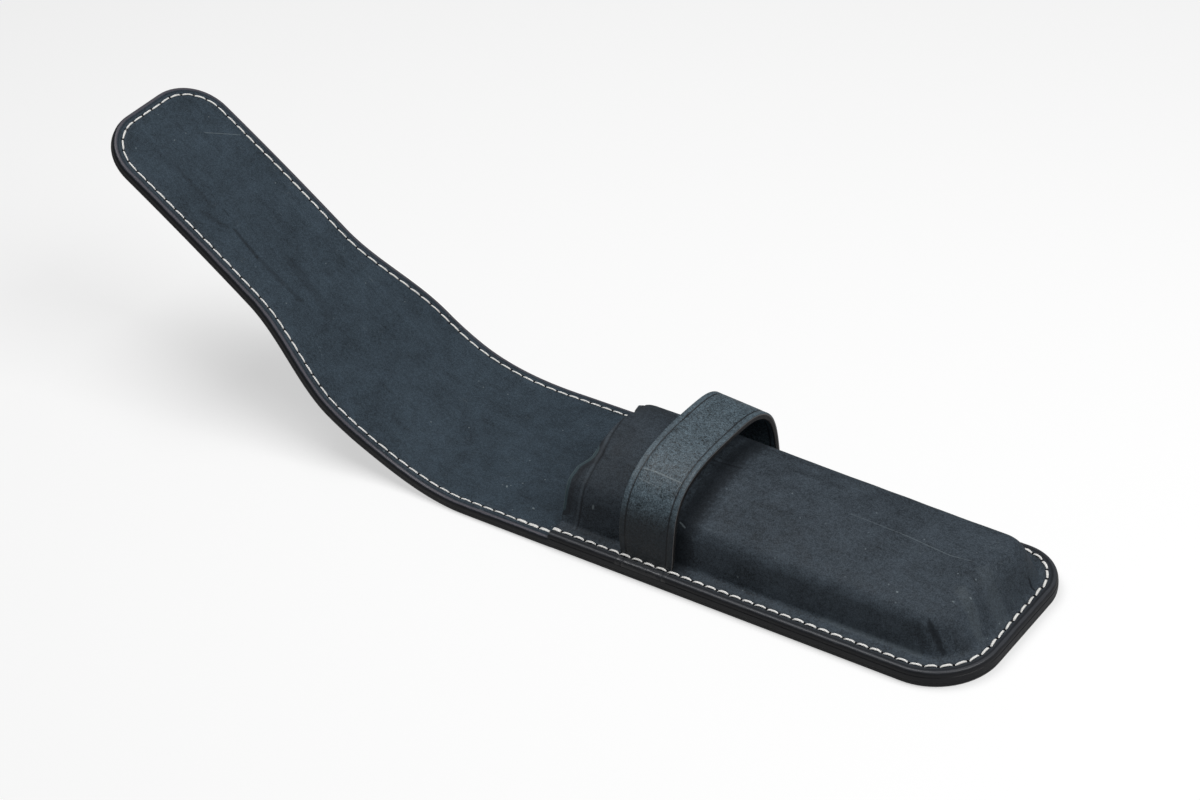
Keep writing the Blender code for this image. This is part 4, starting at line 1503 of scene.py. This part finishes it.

# Pale worn marks, and painted light on the closed end's slope, in the same form
PALE_MARKS = {
    "lining": [
        ((24.3, -17.3, 0.0), (24.6, -17.0, 0.0), 0.40, 0.8),
        ((11.3, -21.8, 0.0), (11.9, -21.6, 0.0), 0.35, 0.7),
        ((170.4, 8.6, 0.0), (163.6, 17.4, 0.0), 0.24, 0.35),
    ],
    "pocket": [
        ((13.3, 2.1, 20.2), (28.6, 2.1, 19.5), 0.22, 0.22),
        ((28.6, 2.1, 19.5), (44.4, 1.2, 18.8), 0.24, 0.30),
        ((44.4, 1.2, 18.8), (55.5, 2.9, 16.0), 0.24, 0.26),
        ((55.5, 2.9, 16.0), (61.6, 5.2, 5.6), 0.22, 0.20),
        ((38.9, -16.8, 16.9), (39.1, -16.8, 16.9), 0.34, 0.8),
        ((53.4, -12.7, 16.5), (53.6, -12.6, 16.5), 0.32, 0.7),
        ((55.9, -8.3, 15.0), (56.1, -8.2, 15.0), 0.32, 0.7),
        ((-56.5, -21.5, 12.1), (-56.3, -21.5, 12.1), 0.36, 0.8),
        ((-28.0, -19.7, 16.5), (-25.9, -20.4, 16.0), 0.26, 0.6),
        # Painted light: the closed end's slope made paler where the light falls on it
        ((54.0, -8.8, 16.5), (59.6, -11.2, 8.5), 3.0, 0.12),
        ((56.0, 0.0, 15.5), (60.6, -2.0, 7.5), 4.5, 0.08),
        ((20.0, -24.6, 6.5), (50.0, -24.4, 6.5), 0.9, 0.10),
    ],
    "strap": [
        ((-41.5, -16.9, 28.5), (-37.2, -16.6, 28.4), 0.30, 0.60),
        ((-37.2, -16.6, 28.4), (-28.0, -16.9, 28.1), 0.28, 0.60),
        ((-40.5, -19.6, 27.0), (-33.5, -19.9, 26.8), 0.24, 0.30),
    ],
}

# Share of a difference in height that counts when a place is compared with a mark
MARK_DEPTH_WEIGHT = 0.1


def worn_and_painted_marks(tree, place, kind, color):
    """Colour with the dark and pale marks listed for this kind of leather: wear and stains, painted shade and
    shadow, and painted light.
    """
    weights = Vector((1.0, 1.0, MARK_DEPTH_WEIGHT))
    flattened = tree.vector("MULTIPLY", place, weights)
    unit = MILLIMETRE * FLAT_SCALE
    for marks, tone in ((DARK_MARKS, DARK_TONE), (PALE_MARKS, PALE_TONE)):
        for start, end, width, strength in marks.get(kind, []):
            ends = {"Start": Vector(start) * weights * unit, "End": Vector(end) * weights * unit}
            mask = tree.group(mark_group(), {"Place": flattened, "Half width": width * unit, **ends})[0]
            color = tree.tint(color, tone, mask, strength)
    return color


def pressed_lines(tree, color):
    """Colour of the strap with its dark pressed lines and a painted highlight on the bands outside them."""
    across = tree.parts(tree.uv("Strap"))[0]
    middle = (STRAP_LINES[0] + STRAP_LINES[1]) / 2 / MILLIMETRE
    half = (STRAP_LINES[1] - STRAP_LINES[0]) / 2 / MILLIMETRE
    out = tree.math("SUBTRACT", tree.gap(across, middle), half)
    # Painted highlight on the bands between the pressed lines and the strap's edges
    color = tree.tint(color, tinted(looks().strap, 1.35), tree.ramp(out, 0.1, 0.5), 0.30)
    line = tree.ramp(tree.math("ABSOLUTE", out), 0.10, 0.34, 1.0, 0.0)
    return tree.tint(color, tinted(looks().edge, 0.7), line, 0.88)


def strap_shade(tree, place, color):
    """Colour of the strap with painted shade low on its near side."""
    parts = tree.parts(place)
    low = tree.ramp(parts[2], 0.15, 0.25, 1.0, 0.0)
    near = tree.ramp(parts[1], -0.14, -0.04, 1.0, 0.0)
    return tree.tint(color, STRAP_SHADE_TONE, tree.math("MULTIPLY", low, near), 0.82)


def mouth_band(tree, color):
    """Colour of the pocket with the worn band along its mouth, a painted highlight on the mouth's rounded rim
    and the dark line pressed behind it.
    """
    parts = tree.parts(tree.uv("Mouth"))
    band, crease = parts[0], parts[1]
    edge = looks().edge
    dull = tree.math("MULTIPLY", tree.ramp(crease, -6.0, -1.0), tree.ramp(crease, 4.0, 14.0, 0.30, 0.0))
    behind = tree.math("MULTIPLY", tree.ramp(band, 0.9, 1.4), tree.ramp(band, 2.2, 4.0, 0.60, 0.0))
    line = tree.ramp(tree.math("ABSOLUTE", crease), 0.10, 0.40, 0.58, 0.0)
    ridge = tree.ramp(tree.math("ABSOLUTE", tree.total(crease, 0.80)), 0.12, 0.60, 0.22, 0.0)
    for mask, tone in (
            (dull, tinted(edge)), (behind, tinted(edge)), (tree.ramp(band, 0.9, 1.3, 0.50, 0.0), BAND_TONE),
            (tree.ramp(band, 0.15, 0.42, 0.75, 0.0), MOUTH_RIM_HIGHLIGHT_TONE), (line, tinted(edge, 0.8)),
            (ridge, RIDGE_TONE)):
        color = tree.blend(mask, color, tone)
    return color


def leather_material(name, kind, flat=True, grain=0.00010, rough_change=0.0, gloss=0.15, speckle=1.0):
    """Waxed leather with its grain and, where it is sewn, its margin, holes in painted shade and burnished
    edge with a painted highlight on its rim.
    """
    material, tree = new_material(name)
    e = edges()
    edge_colour = looks().edge
    place = leather_place(tree, flat)
    color, rough, height = tree.group(leather_group(), {
        "Place": place, "Base": tinted(getattr(looks(), kind)), "Speckle": speckle})
    if rough_change:
        rough = tree.total(rough, rough_change)
    color = worn_and_painted_marks(tree, place, kind, color)
    if kind == "strap":
        color = strap_shade(tree, place, pressed_lines(tree, color))
    if kind == "pocket":
        color = mouth_band(tree, color)
    edge, rim, hole, line, margin = tree.group(margin_group(), {
        "Seam": tree.uv("Seam"), "Pitch": e.stitch_pitch / MILLIMETRE,
        "Seam inset": e.seam_inset / MILLIMETRE, "Line inset": e.crease_inset / MILLIMETRE})
    margin_share, line_share, rim_highlight_share, rim_highlight_colour = SEWN_MARGINS[kind]
    color = tree.tint(color, tinted(edge_colour, 1.2), margin, margin_share)
    color = tree.tint(color, tinted(edge_colour, 0.7), line, line_share)
    # Painted highlight on the burnished edge's rounded rim
    color = tree.tint(color, (*rim_highlight_colour, 1.0), rim, rim_highlight_share)
    color = tree.blend(edge, color, tinted(edge_colour))
    color = tree.blend(hole, color, HOLE_TONE)
    waxed = tree.math("MAXIMUM", edge, rim)
    rough = tree.math("SUBTRACT", rough, tree.math("MULTIPLY", waxed, 0.24))
    height = tree.math("SUBTRACT", height, tree.math("MULTIPLY", edge, 0.25))
    finish_material(tree, height, grain, {
        "Base Color": color, "Roughness": rough, "Specular IOR Level": gloss,
        "Coat Weight": tree.math("MULTIPLY", waxed, COAT_WEIGHT), "Coat Roughness": COAT_ROUGHNESS})
    return material


def cut_material(name, colour, highlighted):
    """Fibrous cut edge of leather, waxed and slightly burnished, with a painted highlight along its rim where
    it is asked for.
    """
    material, tree = new_material(name)
    place = leather_place(tree, False)
    fibre = tree.noise(place, 140.0, 4.0, 0.7)
    cloud = tree.noise(place, 16.0, 3.0)
    cloud = tree.ramp(cloud, 0.3, 0.7, 0.8, 1.15)
    shade = tree.math("MULTIPLY", tree.ramp(fibre, 0.3, 0.7, 0.72, 1.22), cloud)
    color = tree.vector("SCALE", tinted(colour)[:3], scale=shade)
    if highlighted:
        depth = tree.parts(tree.uv("Strap"))[1]
        # Painted highlight along the cut edge's rim next to the face
        color = tree.blend(tree.ramp(depth, 0.50, 0.78, 0.9, 0.0), color, STRAP_EDGE_HIGHLIGHT_TONE)
    finish_material(tree, fibre, FIBRE_DEPTH, {"Base Color": color, "Roughness": EDGE_ROUGHNESS})
    return material


def thread_material(name):
    """Waxed thread with a fine ply twist."""
    material, tree = new_material(name)
    parts = tree.parts(tree.uv("Thread"))
    phase = tree.total(tree.math("MULTIPLY", parts[0], 1.5), parts[1])
    wave = tree.math("SINE", tree.math("MULTIPLY", phase, 4 * math.pi))
    place = tree.add("ShaderNodeTexCoord").outputs["Object"]
    fibre = tree.noise(place, 2600.0, 2.0)
    dirt = tree.noise(place, 300.0, 3.0)
    # The twist's grooves get painted shade; the dirt noise is the thread's own uneven tone
    shade = tree.math("MULTIPLY", tree.ramp(wave, -1.0, 0.2, 0.88, 1.0), tree.ramp(dirt, 0.3, 0.7, 0.94, 1.0))
    color = tree.vector("SCALE", tinted(looks().thread)[:3], scale=shade)
    height = tree.total(tree.math("MULTIPLY", wave, 0.5), tree.math("MULTIPLY", fibre, 0.5))
    finish_material(tree, height, TWIST_DEPTH, {"Base Color": color, "Roughness": THREAD_ROUGHNESS})
    return material


def case_material(kind):
    """Material of one kind, made the first time that it is asked for."""
    name = f"case_{kind}"
    made = bpy.data.materials.get(name)
    if made:
        return made
    if kind == "thread":
        return thread_material(name)
    if kind in ("strap_edge", "mouth_edge"):
        return cut_material(name, getattr(looks(), kind), kind == "strap_edge")
    if kind == "strap":
        return leather_material(
            name, kind, flat=False, grain=0.00034, rough_change=-0.16, gloss=0.42, speckle=1.9)
    return leather_material(name, kind, flat=kind != "pocket")


PHOTO_WIDTH, SENSOR_WIDTH = 1200, 36.0
FOCAL_LENGTH = 3061.74 / PHOTO_WIDTH * SENSOR_WIDTH
CAMERA_PLACE = (0.3718, -0.5450, 0.5300)
CAMERA_AZIMUTH, CAMERA_ELEVATION, CAMERA_ROLL = (math.radians(angle) for angle in (39.719, 35.892, -6.42))
CAMERA_SHIFT = (34.6 / PHOTO_WIDTH, 26.6 / PHOTO_WIDTH)
KEY_PLACE, FILL_PLACE = (-0.24, 0.02, 0.78), (0.50, 0.00, 0.60)
FLOOR_REACH, FLOOR_COLOUR = 6.0, (0.45, 0.45, 0.45, 1.0)


def add_camera():
    """Camera at the angle, distance and framing of the photograph."""
    a, e, r = CAMERA_AZIMUTH, CAMERA_ELEVATION, CAMERA_ROLL
    back = Vector((math.sin(a) * math.cos(e), -math.cos(a) * math.cos(e), math.sin(e)))
    right = (-back).cross(Vector((0.0, 0.0, 1.0))).normalized()
    up = right.cross(-back)
    across = right * math.cos(r) + up * math.sin(r)
    upward = up * math.cos(r) - right * math.sin(r)
    data = bpy.data.cameras.new("camera")
    data.sensor_width = SENSOR_WIDTH
    data.sensor_fit = "HORIZONTAL"
    data.lens = FOCAL_LENGTH
    data.shift_x, data.shift_y = CAMERA_SHIFT
    item = bpy.data.objects.new("camera", data)
    matrix = Matrix((across, upward, back)).transposed().to_4x4()
    matrix.translation = Vector(CAMERA_PLACE)
    item.matrix_world = matrix
    bpy.context.scene.collection.objects.link(item)
    bpy.context.scene.camera = item


def add_lamp(name, place, power):
    """Large soft square light at a place, aimed at the middle of the case."""
    data = bpy.data.lights.new(name, "AREA")
    data.shape = "SQUARE"
    data.size = stage().key_size
    data.energy = power
    item = bpy.data.objects.new(name, data)
    item.location = Vector(place)
    item.rotation_euler = Vector(place).to_track_quat("Z", "Y").to_euler()
    bpy.context.scene.collection.objects.link(item)


def add_floor():
    """Large pale floor that keeps the soft shadow of the case."""
    reach = FLOOR_REACH
    mesh = bpy.data.meshes.new("floor")
    corners = [(-reach, -reach, 0.0), (reach, -reach, 0.0), (reach, reach, 0.0), (-reach, reach, 0.0)]
    mesh.from_pydata(corners, [], [(0, 1, 2, 3)])
    material, tree = new_material("floor")
    pale = tree.add("ShaderNodeBsdfDiffuse", {"Color": FLOOR_COLOUR})
    seen = tree.math("MULTIPLY", tree.add("ShaderNodeLightPath").outputs["Is Camera Ray"], stage().floor_glow)
    glow = tree.add("ShaderNodeEmission", {"Strength": seen})
    both = tree.add("ShaderNodeAddShader", {0: pale.outputs[0], 1: glow.outputs[0]})
    tree.add("ShaderNodeOutputMaterial", {"Surface": both.outputs[0]})
    mesh.materials.append(material)
    item = bpy.data.objects.new("floor", mesh)
    bpy.context.scene.collection.objects.link(item)


def add_world():
    """White seen behind the floor, and an even grey light from all sides."""
    world = bpy.data.worlds.new("studio")
    world.use_nodes = True
    world.node_tree.nodes.clear()
    tree = Tree(world.node_tree)
    seen = tree.add("ShaderNodeLightPath").outputs["Is Camera Ray"]
    strength = tree.ramp(seen, 0.0, 1.0, stage().world_light, 1.0)
    light = tree.add("ShaderNodeBackground", {"Strength": strength})
    tree.add("ShaderNodeOutputWorld", {"Surface": light.outputs[0]})
    bpy.context.scene.world = world


class CASE_OT_stage(bpy.types.Operator):
    """Add the floor, the light and the camera"""

    bl_idname = "pen_case.stage"
    bl_label = "Stage"

    def execute(self, context):
        add_floor()
        add_world()
        add_lamp("key", KEY_PLACE, stage().key_power)
        add_lamp("fill", FILL_PLACE, stage().fill_power)
        add_camera()
        context.scene.view_settings.view_transform = "Standard"
        return {"FINISHED"}


class CASE_OT_long_layers(bpy.types.Operator):
    """Skin the outer leather and the lining, from the closed end over the bend to the flap's tip"""

    bl_idname = "pen_case.long_layers"
    bl_label = "Outer leather and lining"

    def execute(self, context):
        outline = Outline()
        build_long_layer(outline, "outer", lower_section, False)
        build_long_layer(outline, "lining", upper_section, True)
        return {"FINISHED"}


class CASE_OT_pocket(bpy.types.Operator):
    """Build the wet-moulded pocket front"""

    bl_idname = "pen_case.pocket"
    bl_label = "Pocket front"

    def execute(self, context):
        item = build_pocket(Outline(), ["pocket", "mouth_edge"])
        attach(item, "case")
        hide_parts("pocket_front")
        return {"FINISHED"}


class CASE_OT_strap(bpy.types.Operator):
    """Build the keeper strap"""

    bl_idname = "pen_case.strap"
    bl_label = "Keeper strap"

    def execute(self, context):
        item = build_strap(Outline(), ["strap", "strap_edge"])
        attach(item, "case")
        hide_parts("keeper_strap")
        return {"FINISHED"}


class CASE_OT_thread(bpy.types.Operator):
    """Sew the saddle stitching round both faces"""

    bl_idname = "pen_case.thread"
    bl_label = "Saddle stitching"

    def execute(self, context):
        build_thread(Outline())
        return {"FINISHED"}


class CASE_PT_panel(bpy.types.Panel):
    """Settings and build buttons of the pen case"""

    bl_idname = "CASE_PT_panel"
    bl_label = "Pen case"
    bl_space_type = "VIEW_3D"
    bl_region_type = "UI"
    bl_category = "Pen case"

    def draw(self, context):
        layout = self.layout
        for group in (context.scene.case_sizes, context.scene.case_edges, context.scene.case_looks,
                      context.scene.case_stage):
            box = layout.box()
            for name in group.__annotations__:
                box.prop(group, name)
        for operator in OPERATORS:
            layout.operator(operator.bl_idname)


OPERATORS = (CASE_OT_stage, CASE_OT_long_layers, CASE_OT_pocket, CASE_OT_strap, CASE_OT_thread)
SETTINGS = {"case_sizes": CaseSizes, "case_edges": EdgeSettings, "case_looks": LookSettings,
            "case_stage": StageSettings}


def register():
    """Register the settings, operators and panel."""
    for item in (*SETTINGS.values(), *OPERATORS, CASE_PT_panel):
        bpy.utils.register_class(item)
    for name, group in SETTINGS.items():
        setattr(bpy.types.Scene, name, PointerProperty(type=group))


def unregister():
    """Remove the settings, operators and panel."""
    for name in SETTINGS:
        delattr(bpy.types.Scene, name)
    for item in reversed((*SETTINGS.values(), *OPERATORS, CASE_PT_panel)):
        bpy.utils.unregister_class(item)


def main():
    """Build every piece."""
    register()
    bpy.ops.pen_case.stage()
    bpy.ops.pen_case.long_layers()
    bpy.ops.pen_case.pocket()
    bpy.ops.pen_case.strap()
    bpy.ops.pen_case.thread()


if __name__ == "__main__":
    main()
